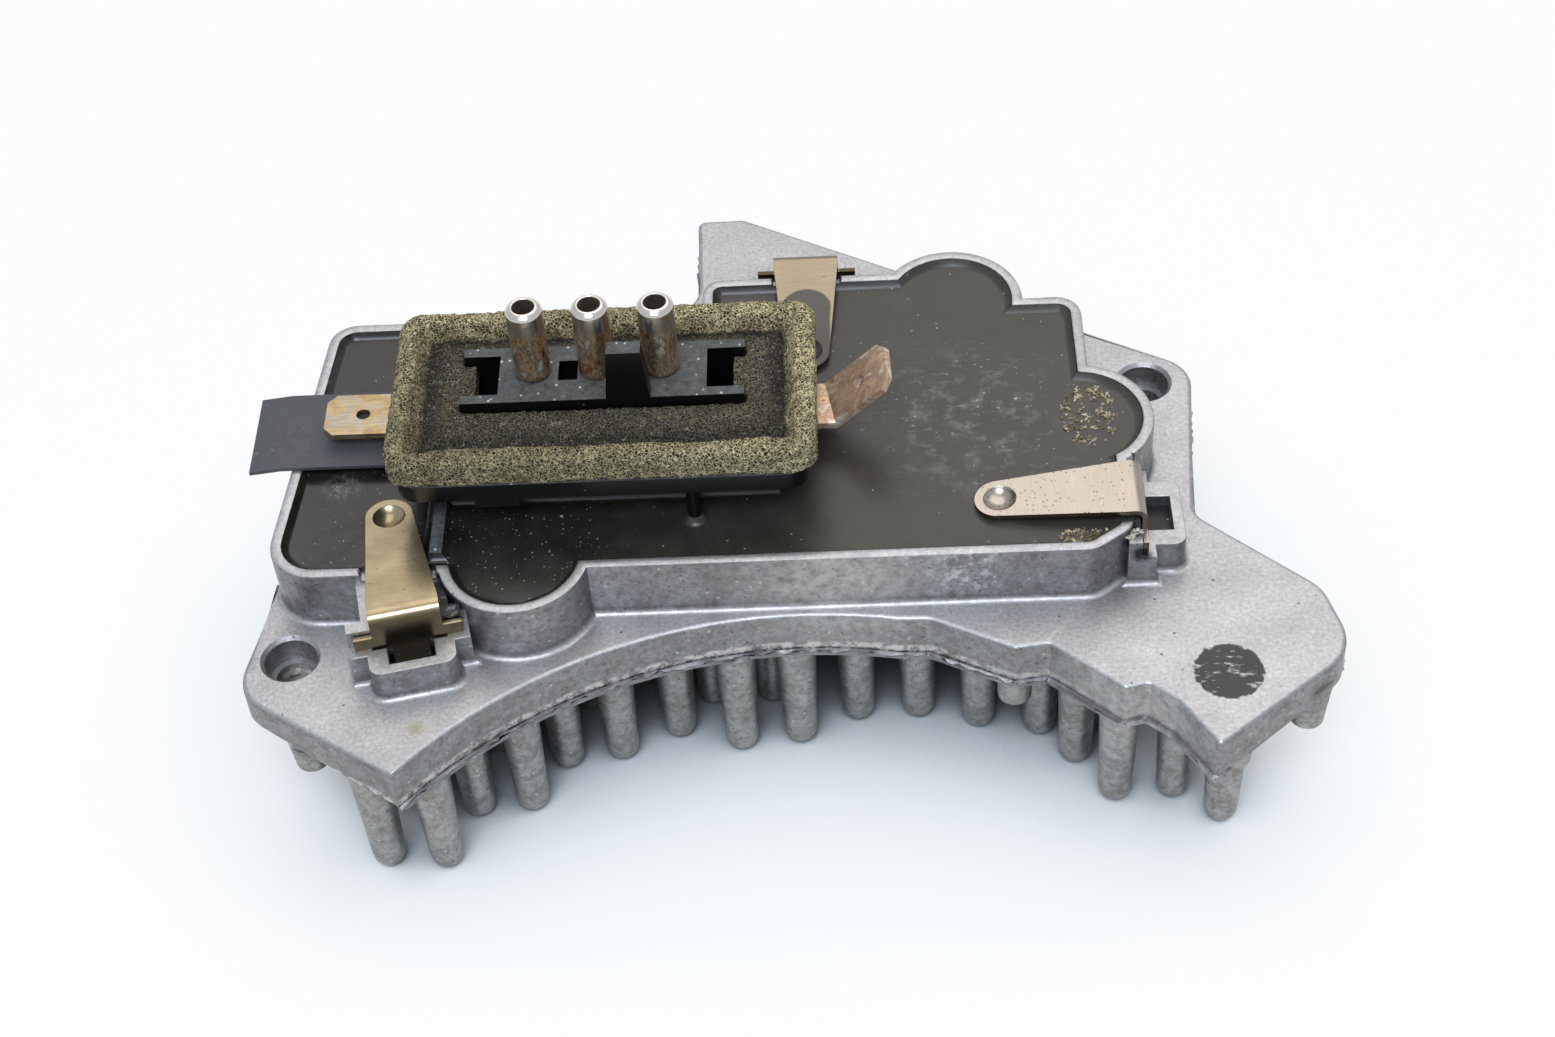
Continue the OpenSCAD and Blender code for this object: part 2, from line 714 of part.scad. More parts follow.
// The right blade is bent up about a slanted line, where its two stretches lap into each other
module blade_right_shape() {
    root = conn_x + skirt_w / 2 - skirt_wall - 2;
    half = blade_w / 2;
    slant_x = half * tan(blade_slant);
    lap = 0.8 * blade_t * tan(blade_bend / 2) / cos(blade_slant);
    flat = blade_right_bend - root;
    translate([blade_right_bend, blade_right_y, blade_z + blade_t]) {
        translate([0, 0, -blade_t]) linear_extrude(blade_t)
            polygon([[-flat, -half], [slant_x + lap, -half], [lap - slant_x, half], [-flat, half]]);
        rotate(a = blade_bend, v = [sin(blade_slant), -cos(blade_slant), 0])
            translate([0, 0, -blade_t]) blade_plate(blade_right_l, slant_x, lap);
    }
    blade_leg(root, blade_right_y);
}

module blade_left() { color("#a98a5a") blade_left_shape(); }
module blade_right() { color("#9a6b48") blade_right_shape(); }

// Thin sheet under the left blade: flat over the rim, drooping beyond it
module insulating_flap() {
    drop = flap_over * tan(flap_droop);
    end = flap_bend_x - flap_over;
    color("#38383c") translate([0, blade_y + flap_w / 2, rim_top]) rotate([90, 0, 0])
        linear_extrude(flap_w) polygon([
            [flap_end_x, 0], [flap_end_x, flap_t], [flap_bend_x, flap_t], [end, flap_t - drop],
            [end, -drop], [flap_bend_x, 0]
        ]);
}

// Side view of a clip's strip: tip, slope, bend and leg
function clip_profile() =
    let (bend = clip_bend_z, slope = (clip_bend_z - clip_tip_z) / clip_length)
    rounded([
        [0, ear_z, 0], [0, bend, clip_bend_r],
        [clip_length, clip_tip_z, 0], [clip_length, clip_tip_z + clip_t, 0],
        [-clip_t, bend + clip_t * (1 + slope), clip_bend_r + clip_t], [-clip_t, ear_z, 0]
    ]);

module clip_plan() {
    polygon([
        [-clip_w / 2, -2 * clip_t], [clip_w / 2, -2 * clip_t], [clip_w / 2, clip_neck],
        [clip_tip_r, clip_reach], [-clip_tip_r, clip_reach], [-clip_w / 2, clip_neck]
    ]);
    translate([0, clip_reach]) circle(r = clip_tip_r);
}

// Spring clip: its dimple presses on a transistor, and its ears hook into the pocket's shoulders
module clip_shape(s) {
    at_station(s) difference() {
        union() {
            intersection() {
                rotate([90, 0, 90]) linear_extrude(clip_w, center = true) polygon(clip_profile());
                linear_extrude(clip_bend_z + clip_bend_r + 2 * clip_t) clip_plan();
            }
            box([-clip_w / 2 - clip_ear, -clip_t, ear_z], [clip_w / 2 + clip_ear, 0, ear_z + ear_t]);
            box([-tongue_w / 2, -clip_t, tongue_z], [tongue_w / 2, 0, ear_z + eps]);
            intersection() {
                translate([0, clip_reach, transistor_top + dimple_r]) sphere(r = dimple_r);
                translate([0, clip_reach, 0]) cylinder(h = clip_tip_z + clip_t, r = clip_tip_r - 0.2);
            }
        }
        translate([0, clip_reach, transistor_top + dimple_r]) sphere(r = dimple_r - clip_t);
    }
}

module clip(s) {
    color("#b5a98c") clip_shape(s);
}

module clip_left() { clip(left_station); }
module clip_right() { clip(right_station); }
module clip_rear() { clip(rear_station); }

// Power transistor under a clip, with three leads away from the wall
module transistor_shape(s) {
    at_station(s) translate([0, clip_reach, pad_z + pad_t]) {
        translate([-transistor_w / 2, -transistor_l / 2, 0])
            cube([transistor_w, transistor_l, transistor_h]);
        for (i = [-1:1])
            translate([i * lead_pitch - lead_w / 2, transistor_l / 2 - eps, transistor_h / 2])
                cube([lead_w, lead_l, lead_t]);
    }
}

module pad_shape(s) {
    at_station(s) translate([0, clip_reach, pad_z]) linear_extrude(pad_t)
        square([transistor_w + 1, transistor_l + 1], center = true);
}

module transistor(s) { color("#26262a") transistor_shape(s); }
module pad(s) { color("#c9c2b4") pad_shape(s); }
module transistor_left() { transistor(left_station); }
module transistor_right() { transistor(right_station); }
module transistor_rear() { transistor(rear_station); }
module pad_left() { pad(left_station); }
module pad_right() { pad(right_station); }
module pad_rear() { pad(rear_station); }

// Circuit board under the connector, drilled for the tails of the contacts
module board_shape() {
    difference() {
        box([board_left, board_front, board_z], [board_right, board_rear, board_top]);
        for (x = pin_x) translate([x, pin_y, board_z - 1]) cylinder(h = board_t + 2, d = pin_tail_d);
    }
}

module control_chip_shape() {
    chip = [8, 4, 1.5];
    translate([conn_x - chip[0] / 2, conn_y - skirt_d / 2 + skirt_wall + 0.6, board_top]) cube(chip);
}

// Bent strip that senses the current, between the board and the right transistor
module shunt_shape() {
    width = 3;
    span = 10;
    strip = 1;
    rise = 3.5;
    x = board_right + 2.5;
    translate([x, tray_front_y + 6, floor_t + 2]) difference() {
        cube([span, width, rise]);
        translate([strip, -1, -1]) cube([span - 2 * strip, width + 2, rise + 1 - strip]);
    }
}

module capacitor_shape(p) {
    translate([p[0], p[1], floor_t]) cylinder(h = cap_h, d = cap_d);
}

// Choke: a ferrite bobbin with a copper winding between its two rims
module choke_core_shape() {
    translate([rear_bulge[0], rear_bulge[1], floor_t]) {
        cylinder(h = choke_rim, d = choke_d);
        cylinder(h = choke_h, d = choke_core_d);
        translate([0, 0, choke_h - choke_rim]) cylinder(h = choke_rim, d = choke_d);
    }
}

module choke_winding_shape() {
    translate([rear_bulge[0], rear_bulge[1], floor_t + choke_rim]) difference() {
        cylinder(h = choke_h - 2 * choke_rim, d = choke_d - 0.8);
        translate([0, 0, -1]) cylinder(h = choke_h, d = choke_core_d);
    }
}

module circuit_board() { color("#2e5a3c") board_shape(); }
module control_chip() { color("#202022") control_chip_shape(); }
module shunt_resistor() { color("#a9836a") shunt_shape(); }
module capacitor_front() { color("#3a4a6a") capacitor_shape(front_bulge); }
module capacitor_right() { color("#3a4a6a") capacitor_shape(right_bulge); }
module choke_core() { color("#4a4a4c") choke_core_shape(); }
module choke_winding() { color("#b06a3a") choke_winding_shape(); }

heat_sink();
potting();
connector_body();
foam_gasket();
contact_pin_left();
contact_pin_middle();
contact_pin_right();
blade_left();
blade_right();
insulating_flap();
clip_left();
clip_right();
clip_rear();
circuit_board();
control_chip();
shunt_resistor();
transistor_left();
transistor_right();
transistor_rear();
pad_left();
pad_right();
pad_rear();
capacitor_front();
capacitor_right();
choke_core();
choke_winding();
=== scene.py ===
"""Blower motor resistor: the dressed model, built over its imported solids."""

import math
import random

import bmesh
import bpy
from mathutils import Euler, Matrix, Quaternion, Vector, noise


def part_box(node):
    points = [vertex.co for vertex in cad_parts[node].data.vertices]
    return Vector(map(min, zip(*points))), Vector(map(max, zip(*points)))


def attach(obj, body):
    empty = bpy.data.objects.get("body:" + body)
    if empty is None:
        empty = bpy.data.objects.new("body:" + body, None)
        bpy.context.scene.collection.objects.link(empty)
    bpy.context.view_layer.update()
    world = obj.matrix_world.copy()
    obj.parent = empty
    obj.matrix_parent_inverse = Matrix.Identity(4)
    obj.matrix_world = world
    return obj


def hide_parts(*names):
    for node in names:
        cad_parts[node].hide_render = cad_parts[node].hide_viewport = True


bl_info = {
    "name": "Blower motor resistor",
    "version": (1, 0, 0),
    "blender": (4, 5, 0),
    "location": "View3D > Sidebar > Resistor",
    "description": "Builds the dressed model of a blower motor resistor",
    "category": "Object",
}

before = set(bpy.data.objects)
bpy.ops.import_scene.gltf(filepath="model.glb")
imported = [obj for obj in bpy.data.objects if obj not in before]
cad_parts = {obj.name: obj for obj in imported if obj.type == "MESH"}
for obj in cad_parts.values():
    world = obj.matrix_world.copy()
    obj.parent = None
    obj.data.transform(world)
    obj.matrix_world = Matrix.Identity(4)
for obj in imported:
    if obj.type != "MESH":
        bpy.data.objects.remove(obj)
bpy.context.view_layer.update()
MM = 0.001

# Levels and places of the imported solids, in millimetres
PARTING_Z = 0.8
PLATE_Z = 6.3
LEDGE_Z = 10.5
SHOULDER_Z = 12.7
FILL_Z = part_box("potting")[1].z / MM
RIM_Z = 13.8
FIN_TIP_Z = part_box("heat_sink")[0].z / MM
SCREWS = ((-47.7, -18.8), (47.7, 18.8))
SCREW_REACH = 5
LEVEL_GAP = 0.02

# Places of marks, dirt and painted light and shade, in millimetres
BAY_MIDDLE = (-10, -26, PARTING_Z)
PALER_WALL_SPOTS = ((11, -14, 10), (43, -26, 3.5))
BLOOM_SPOT = (25.2, -13.9, 10.8)
STAIN_SPOT = (-33.2, -29, PLATE_Z)
RUN_SPOTS = ((-31.2, -13.8, SHOULDER_Z), (-30.9, -16, SHOULDER_Z), (-29.5, -18.2, SHOULDER_Z))
GRIME_AND_SHADE_SPOTS = (((43.4, -10.1, 12.6), 2.2), ((44.4, -12.2, 11), 1.5))
PAINT_SPOT = (52.4, -25, PLATE_Z)
SHADED_POCKETS = ((-34.6, -21, LEDGE_Z), (47, -5.9, LEDGE_Z))
SPECK_SPOT = (-28, -8, FILL_Z)
DUST_SPOT = (27, 7, FILL_Z)
SMEAR_SPOT = (-43, 0.3, FILL_Z)
CRUST_SPOT = (43.4, -10.9, SHOULDER_Z)
REFLECTION_ARCH_SPOT = (8.8, 25.2, 0)


def linear(hex_colour):
    """Linear colour of an sRGB hex value."""
    parts = [int(hex_colour[i:i + 2], 16) / 255 for i in (1, 3, 5)]
    return [c / 12.92 if c <= 0.04045 else ((c + 0.055) / 1.055) ** 2.4 for c in parts]


def paint(hex_colour):
    """The same colour with full alpha, for a node's socket."""
    return linear(hex_colour) + [1.0]


def per_mm(size):
    """Texture scale whose features are about this many millimetres apart."""
    return 1 / (size * MM)


def add_node(material, kind, links=None, out=0, stops=(), **settings):
    """
    Adds one node with its settings, its socket values, the sockets that feed it and a ramp's stops.

    It gives back one output, the first unless another is named.
    Sockets go by name, or by number where that is shorter: a Map Range has its value at 0, the range it
    reads at 1 and 2, which are 0 and 1 unless set, and the range it gives at 3 and 4; a colour Mix has its
    share at 0 and its colours at 6 and 7.
    """
    node = material.node_tree.nodes.new(kind)
    for name, value in settings.items():
        setattr(node, name, value)
    for socket, value in (links or {}).items():
        if isinstance(value, bpy.types.NodeSocket):
            material.node_tree.links.new(value, node.inputs[socket])
        else:
            node.inputs[socket].default_value = value
    for i, (position, colour) in enumerate(stops):
        elements = node.color_ramp.elements
        stop = elements[i] if i < len(elements) else elements.new(position)
        stop.position = position
        stop.color = colour
    return node.outputs[out]


def new_material(name):
    """An empty node material with its principled shader and object coordinates."""
    material = bpy.data.materials.new(name)
    material.use_nodes = True
    shader = material.node_tree.nodes["Principled BSDF"]
    place = add_node(material, "ShaderNodeTexCoord", out="Object")
    return material, shader, place


def feed(material, shader, relief=None, **sockets):
    """
    Sets or links the shader's own sockets, named with underscores.

    A relief has its height pattern, its depth in millimetres and its strength.
    """
    if relief:
        height, depth, strength = relief
        links = {"Height": height, "Distance": depth * MM, "Strength": strength}
        sockets["Normal"] = add_node(material, "ShaderNodeBump", links)
    for name, value in sockets.items():
        socket = shader.inputs[name.replace("_", " ")]
        if isinstance(value, bpy.types.NodeSocket):
            material.node_tree.links.new(value, socket)
        else:
            socket.default_value = value


# Patterns that several finishes share


def speckles(material, place, spacing, radius, share):
    """Mask of round specks: a share of the cells of this spacing holds one, sizes in millimetres."""
    far = add_node(material, "ShaderNodeTexVoronoi", {"Vector": place, "Scale": per_mm(spacing)})
    edge = radius / spacing
    spot = add_node(
        material, "ShaderNodeMapRange", {0: far, 1: edge * 0.6, 2: edge * 1.2, 3: 1.0, 4: 0.0}
    )
    lot = add_node(material, "ShaderNodeSeparateColor", {0: far.node.outputs["Color"]})
    drawn = add_node(material, "ShaderNodeMath", {0: lot, 1: 1 - share}, operation="GREATER_THAN")
    return add_node(material, "ShaderNodeMath", {0: spot, 1: drawn}, operation="MULTIPLY")


def blotches(material, place, size, low, high, most=1.0):
    """Mask of ragged blotches about this many millimetres across, from a noise cut between two levels."""
    cloud = add_node(
        material, "ShaderNodeTexNoise",
        {"Vector": place, "Scale": per_mm(size), "Detail": 6.0, "Roughness": 0.7}
    )
    return add_node(material, "ShaderNodeMapRange", {0: cloud, 1: low, 2: high, 3: 0.0, 4: most})


def around(material, place, centre, inner, outer, most=1.0):
    """Mask that falls to zero between two distances from a point, all in millimetres."""
    far = add_node(
        material, "ShaderNodeVectorMath", {0: place, 1: Vector(centre) * MM}, "Value", operation="DISTANCE"
    )
    return add_node(
        material, "ShaderNodeMapRange", {0: far, 1: inner * MM, 2: outer * MM, 3: most, 4: 0.0}
    )


def coat(material, below, above, *masks):
    """Lays a colour over another where all the masks and shares meet."""
    share = masks[0]
    for mask in masks[1:]:
        share = add_node(material, "ShaderNodeMath", {0: share, 1: mask}, operation="MULTIPLY")
    return add_node(material, "ShaderNodeMix", {0: share, 6: below, 7: above}, 2, data_type="RGBA")


def shaded(material, colour, pattern, dark, light):
    """A colour made darker and lighter by a noise pattern."""
    shade = add_node(material, "ShaderNodeMapRange", {0: pattern, 1: 0.3, 2: 0.7, 3: dark, 4: light})
    return add_node(
        material, "ShaderNodeMix", {0: 1.0, 6: colour, 7: shade}, 2, data_type="RGBA", blend_type="MULTIPLY"
    )


def upward_lean(material):
    """How far a face looks up: the height of its unit normal."""
    normal = add_node(material, "ShaderNodeNewGeometry", out="Normal")
    return add_node(material, "ShaderNodeSeparateXYZ", {0: normal}, "Z")


def upright(material):
    """Mask of the faces that stand upright."""
    lean = upward_lean(material)
    steep = add_node(material, "ShaderNodeMath", {0: lean}, operation="ABSOLUTE")
    return add_node(material, "ShaderNodeMapRange", {0: steep, 1: 0.35, 2: 0.8, 3: 1.0, 4: 0.0})


# Meshes


def merged_copy(node):
    """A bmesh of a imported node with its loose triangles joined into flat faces."""
    bm = bmesh.new()
    bm.from_mesh(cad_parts[node].data)
    bmesh.ops.remove_doubles(bm, verts=bm.verts, dist=0.004 * MM)
    bmesh.ops.dissolve_limit(
        bm, angle_limit=math.radians(0.5), use_dissolve_boundaries=False,
        verts=bm.verts, edges=bm.edges, delimit=set()
    )
    return bm


def bevel(bm, edges, width, segments=3, clamp=False):
    """Rounds the given edges to a radius in millimetres."""
    bmesh.ops.bevel(
        bm, geom=edges, offset=width * MM, offset_type="OFFSET", segments=segments, profile=0.5,
        affect="EDGES", clamp_overlap=clamp, loop_slide=False, material=-1
    )


def corner_edges(bm, test, least=30):
    """Edges whose faces meet at more than the least angle in degrees and that pass a test."""
    limit = math.radians(least)
    return [
        e for e in bm.edges
        if len(e.link_faces) == 2 and e.calc_face_angle(0) > limit and test(e)
    ]


def at_level(edge, z):
    """Whether an edge lies at a height in millimetres."""
    return all(abs(v.co.z / MM - z) < LEVEL_GAP for v in edge.verts)


def refill(bm, least=40):
    """Fills flat faces of many corners again with triangles, as their holes may be drawn wrongly."""
    for face in [f for f in bm.faces if len(f.verts) > least]:
        normal = face.normal.copy()
        edges = list(face.edges)
        bmesh.ops.delete(bm, geom=[face], context="FACES_ONLY")
        bmesh.ops.delete(bm, geom=[e for e in edges if not e.link_faces], context="EDGES")
        borders = [e for e in edges if e.is_valid]
        bmesh.ops.triangle_fill(bm, edges=borders, use_beauty=True, normal=normal)


def voxel_copy(bm, size):
    """A bmesh of the same form in even cells of a size in millimetres; the first bmesh is freed."""
    blank = bpy.data.meshes.new("voxel_blank")
    bm.to_mesh(blank)
    bm.free()
    block = bpy.data.objects.new("voxel_blank", blank)
    bpy.context.scene.collection.objects.link(block)
    cells = block.modifiers.new("Cells", "REMESH")
    cells.mode = "VOXEL"
    cells.voxel_size = size * MM
    bpy.context.view_layer.update()
    even = bpy.data.meshes.new_from_object(block.evaluated_get(bpy.context.evaluated_depsgraph_get()))
    result = bmesh.new()
    result.from_mesh(even)
    bpy.data.objects.remove(block)
    return result


def finish_piece(bm, name, material, nodes=(), smooth=35):
    """Turns a bmesh into a piece that rides on the body and stands for its nodes."""
    limit = math.radians(smooth)
    for face in bm.faces:
        face.smooth = True
    for edge in bm.edges:
        edge.smooth = edge.calc_face_angle(0) < limit
    mesh = bpy.data.meshes.new(name)
    bm.to_mesh(mesh)
    bm.free()
    piece = bpy.data.objects.new(name, mesh)
    bpy.context.scene.collection.objects.link(piece)
    mesh.materials.append(material)
    normals = piece.modifiers.new("Weighted normals", "WEIGHTED_NORMAL")
    normals.keep_sharp = True
    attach(piece, "root")
    if nodes:
        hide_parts(*nodes)
    return piece


def rounded_piece(node, name, material, width, segments=2):
    """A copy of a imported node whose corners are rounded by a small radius."""
    bm = merged_copy(node)
    bevel(bm, corner_edges(bm, lambda e: True), width, segments, clamp=True)
    return finish_piece(bm, name, material, [node])


def smooth_step(low, high, value):
    """Zero below the first level, one above the second, and an even ramp between."""
    share = min(max((value - low) / (high - low), 0), 1)
    return share * share * (3 - 2 * share)


# Settings


def number_setting(name, about, default, least, most):
    """A number among the settings, with its bounds."""
    return bpy.props.FloatProperty(name=name, description=about, default=default, min=least, max=most)


def colour_setting(name, about, hex_colour):
    """A colour among the settings."""
    tone = linear(hex_colour)
    return bpy.props.FloatVectorProperty(name=name, description=about, subtype="COLOR", default=tone)


class CastingSettings(bpy.types.PropertyGroup):
    """Sizes and colours of the heat sink casting"""

    edge_radius: number_setting("Plate edge", "Radius along the plate's upper edge, mm", 0.58, 0.1, 0.6)
    fillet_radius: number_setting("Wall fillet", "Radius at the foot of the walls, mm", 0.74, 0.2, 0.75)
    rim_radius: number_setting("Rim edge", "Radius along the rim's top, mm", 0.35, 0.05, 0.5)
    pocket_radius: number_setting("Pocket edge", "Radius along the clip pockets' top, mm", 0.25, 0.05, 0.3)
    pale: colour_setting("Pale metal", "Colour of the brighter metal", "#b9b7b8")
    dull: colour_setting("Dull metal", "Colour of the duller metal", "#aeacad")


class FoamSettings(bpy.types.PropertyGroup):
    """Sizes and colours of the foam gasket"""

    pore: number_setting("Pore", "Distance between the foam's pores, mm", 0.36, 0.3, 1.5)
    track: number_setting("Track", "Height of the foam under the pressed track, mm", 1.5, 0.8, 2.2)
    middle: number_setting("Middle", "Height of the foam inside the track, mm", 2.2, 1.5, 3)
    strut: colour_setting("Struts", "Colour of the foam's border", "#efdcaa")


class StageSettings(bpy.types.PropertyGroup):
    """Floor, light and camera"""

    floor_colour: colour_setting("Floor", "Colour of the floor", "#eef6f9")
    white_share: number_setting("White share", "Share of plain white in the floor as seen", 0.88, 0, 1)
    distance: number_setting("Camera distance", "From the aim to the camera, mm", 291, 100, 1000)
    elevation: number_setting("Elevation", "Camera above the horizon, degrees", 47, 0, 89)
    heading: number_setting("Heading", "Camera's turn to the left, degrees", 3.1, -180, 180)
    roll: number_setting("Roll", "Camera's roll, degrees", -4.37, -45, 45)
    lens: number_setting("Lens", "Focal length, mm", 60.19, 20, 200)


# Materials


def cast_aluminium():
    """Die-cast aluminium, as moulded: pale, matt on top; upright faces grimy, speckled and in painted
    shade; fins painted paler.
    """
    material, shader, place = new_material("die_cast_aluminium")
    settings = bpy.context.scene.resistor_casting
    mottle = add_node(
        material, "ShaderNodeTexNoise",
        {"Vector": place, "Scale": per_mm(5), "Detail": 5.0, "Roughness": 0.65}
    )
    grain = add_node(
        material, "ShaderNodeTexNoise",
        {"Vector": place, "Scale": per_mm(0.45), "Detail": 3.0, "Roughness": 0.7}
    )
    metal = add_node(
        material, "ShaderNodeValToRGB", {"Fac": mottle},
        stops=((0.32, [*settings.dull, 1]), (0.66, [*settings.pale, 1]))
    )
    metal = shaded(material, metal, grain, 0.74, 1.12)
    pits = speckles(material, place, 1.7, 0.15, 0.28)
    metal = coat(material, metal, paint("#4c4a45"), pits, 0.7)

    # Painted shade darkens the upright faces and painted light makes the fins paler; grime, dark dirt and
    # chalky dots hold on the upright faces and the fins
    steep = upright(material)
    height = add_node(material, "ShaderNodeSeparateXYZ", {0: place}, "Z")
    below = add_node(material, "ShaderNodeMath", {0: height, 1: -0.2 * MM}, operation="LESS_THAN")
    metal = coat(material, metal, paint("#6c7175"), steep, 0.38)
    metal = coat(material, metal, paint("#bdbbb6"), below, 0.55)
    for colour, pattern, share in (
        ("#645e53", blotches(material, place, 2.2, 0.42, 0.72), 0.6),
        ("#5f5c57", blotches(material, place, 0.8, 0.45, 0.6), 0.4),
        ("#3a352e", speckles(material, place, 0.8, 0.15, 0.4), 0.6),
        ("#dcdcd8", speckles(material, place, 1.2, 0.2, 0.3), 0.5),
    ):
        metal = coat(material, metal, paint(colour), steep, pattern, share)

    # Cracks and pale flash along the mould's parting line, most of all in the bay
    in_bay = around(material, place, BAY_MIDDLE, 32, 62)
    for rise, reach, colour, size in ((0.7, 0.7, "#d6d3cc", 1.2), (0.1, 0.35, "#2a2620", 0.9)):
        level = (PARTING_Z + rise) * MM
        off = add_node(material, "ShaderNodeMath", {0: height, 1: level}, operation="SUBTRACT")
        apart = add_node(material, "ShaderNodeMath", {0: off}, operation="ABSOLUTE")
        seam = add_node(
            material, "ShaderNodeMapRange", {0: apart, 1: 0.4 * reach * MM, 2: reach * MM, 3: 0.9, 4: 0.0}
        )
        broken = blotches(material, place, size, 0.45, 0.53)
        metal = coat(material, metal, paint(colour), seam, steep, broken, in_bay)

    # Paler metal on the middle of the front wall and beside the bay's right step
    paler_patches = blotches(material, place, 1.4, 0.34, 0.6)
    for spot in PALER_WALL_SPOTS:
        near = around(material, place, spot, 3, 12)
        metal = coat(material, metal, paint("#d2d0cc"), steep, paler_patches, near, 0.55)

    # Salt bloom on the front wall and an olive stain by the left horn
    salt = around(material, place, BLOOM_SPOT, 2, 5.5)
    metal = coat(material, metal, paint("#cbcfd2"), blotches(material, place, 1.3, 0.5, 0.6), salt, 0.75)
    metal = coat(material, metal, paint("#8c8668"), around(material, place, STAIN_SPOT, 0.3, 1.2), 0.6)

    # Compound that ran over the shoulder by the left clip, below the rim
    patch = blotches(material, place, 2.5, 0.36, 0.46)
    under_rim = add_node(
        material, "ShaderNodeMath", {0: height, 1: (RIM_Z - 0.4) * MM}, operation="LESS_THAN"
    )
    for spot in RUN_SPOTS:
        run = around(material, place, spot, 1.2, 2)
        metal = coat(material, metal, paint("#242528"), patch, run, under_rim, 0.92)

    # Black grime and the painted shade of a dark gap at the foot of the right clip
    for spot, reach in GRIME_AND_SHADE_SPOTS:
        grime_and_shade = around(material, place, spot, 0.5 * reach, reach)
        metal = coat(material, metal, paint("#1d1c1a"), patch, grime_and_shade, under_rim, 0.92)

    # Dark paint mark on the right horn, with a ragged edge and pale scrapes
    middle = Vector(PAINT_SPOT) * MM
    far = add_node(material, "ShaderNodeVectorMath", {0: place, 1: middle}, "Value", operation="DISTANCE")
    ragged = add_node(
        material, "ShaderNodeTexNoise",
        {"Vector": place, "Scale": per_mm(0.9), "Detail": 5.0, "Roughness": 0.7}
    )
    reach = add_node(
        material, "ShaderNodeMath", {0: ragged, 1: 1.1 * MM, 2: far}, operation="MULTIPLY_ADD"
    )
    mark = add_node(
        material, "ShaderNodeMapRange", {0: reach, 1: 4.15 * MM, 2: 4.35 * MM, 3: 1.0, 4: 0.0}
    )
    turned = add_node(
        material, "ShaderNodeMapping",
        {"Vector": place, "Rotation": (0, 0, math.radians(20)), "Scale": (0.4, 1.0, 1.0)}
    )
    scrape = blotches(material, turned, 0.8, 0.37, 0.44)
    mark = add_node(material, "ShaderNodeMath", {0: mark, 1: scrape}, operation="MULTIPLY")
    metal = coat(material, metal, paint("#241e22"), mark, 0.97)

    metallic = add_node(material, "ShaderNodeMapRange", {0: mark, 3: 0.88, 4: 0.0})
    rough = add_node(material, "ShaderNodeMapRange", {0: mottle, 1: 0.3, 2: 0.7, 3: 0.48, 4: 0.4})
    relief = add_node(material, "ShaderNodeMath", {0: pits, 1: -1.2, 2: grain}, operation="MULTIPLY_ADD")
    feed(material, shader, (relief, 0.05, 0.7), Base_Color=metal, Metallic=metallic, Roughness=rough)
    return material


def potting_compound():
    """Cast polyurethane compound: brown-black, semi-gloss, with a painted sheen greyer to the right, dust
    and scratches.
    """
    material, shader, place = new_material("potting_compound")
    # Painted sheen: the compound is painted greyer towards the right, in patches, and is rougher there
    across = add_node(material, "ShaderNodeSeparateXYZ", {0: place}, "X")
    painted_sheen_sweep = add_node(material, "ShaderNodeMapRange", {0: across, 1: -32 * MM, 2: 40 * MM, 3: 0.0, 4: 0.7})
    patch = blotches(material, place, 6, 0.38, 0.75)
    painted_sheen = add_node(material, "ShaderNodeMath", {0: patch, 1: 0.36, 2: painted_sheen_sweep}, operation="MULTIPLY_ADD")
    tone = coat(material, paint("#1a1714"), paint("#4e4941"), painted_sheen)

    # Painted shade: the compound in the deep clip pockets is painted near black
    for pocket in SHADED_POCKETS:
        tone = coat(material, tone, paint("#060606"), around(material, place, pocket, 3.5, 4.5))

    # Fine white specks, most of all at the front left, and a few coarse ones
    strewn = around(material, place, SPECK_SPOT, 7, 20)
    uneven = blotches(material, place, 3, 0.38, 0.6)
    specks = speckles(material, place, 0.42, 0.08, 0.3)
    tone = coat(material, tone, paint("#d2d0ca"), specks, strewn, uneven)
    tone = coat(material, tone, paint("#cfccc4"), speckles(material, place, 1.0, 0.11, 0.25), 0.5)
    tone = coat(material, tone, paint("#d6d4ce"), speckles(material, place, 4.2, 0.2, 0.4), 0.6)

    # Settled dust, crossed scratches and a smear
    settled = around(material, place, DUST_SPOT, 3, 15)
    dust = blotches(material, place, 2.4, 0.52, 0.74)
    tone = coat(material, tone, paint("#b4b0a8"), dust, settled, 0.42)
    tone = coat(material, tone, paint("#cbc8c0"), speckles(material, place, 0.8, 0.12, 0.3), settled, 0.8)
    for angle in (-35, 25):
        turned = add_node(
            material, "ShaderNodeMapping",
            {"Vector": place, "Rotation": (0, 0, math.radians(angle)), "Scale": (0.3, 1.0, 1.0)}
        )
        scratch = blotches(material, turned, 0.7, 0.6, 0.72)
        tone = coat(material, tone, paint("#aca79e"), scratch, settled, 0.55)
    smear = around(material, place, SMEAR_SPOT, 0.8, 2.6)
    tone = coat(material, tone, paint("#b5b2ac"), smear, blotches(material, place, 0.8, 0.45, 0.65), 0.35)

    ripple = add_node(
        material, "ShaderNodeTexNoise", {"Vector": place, "Scale": per_mm(7), "Detail": 2.0}
    )
    rough = add_node(material, "ShaderNodeMapRange", {0: painted_sheen, 3: 0.2, 4: 0.42})
    feed(material, shader, (ripple, 0.25, 0.5), Base_Color=tone, Roughness=rough, IOR=1.44)
    return material


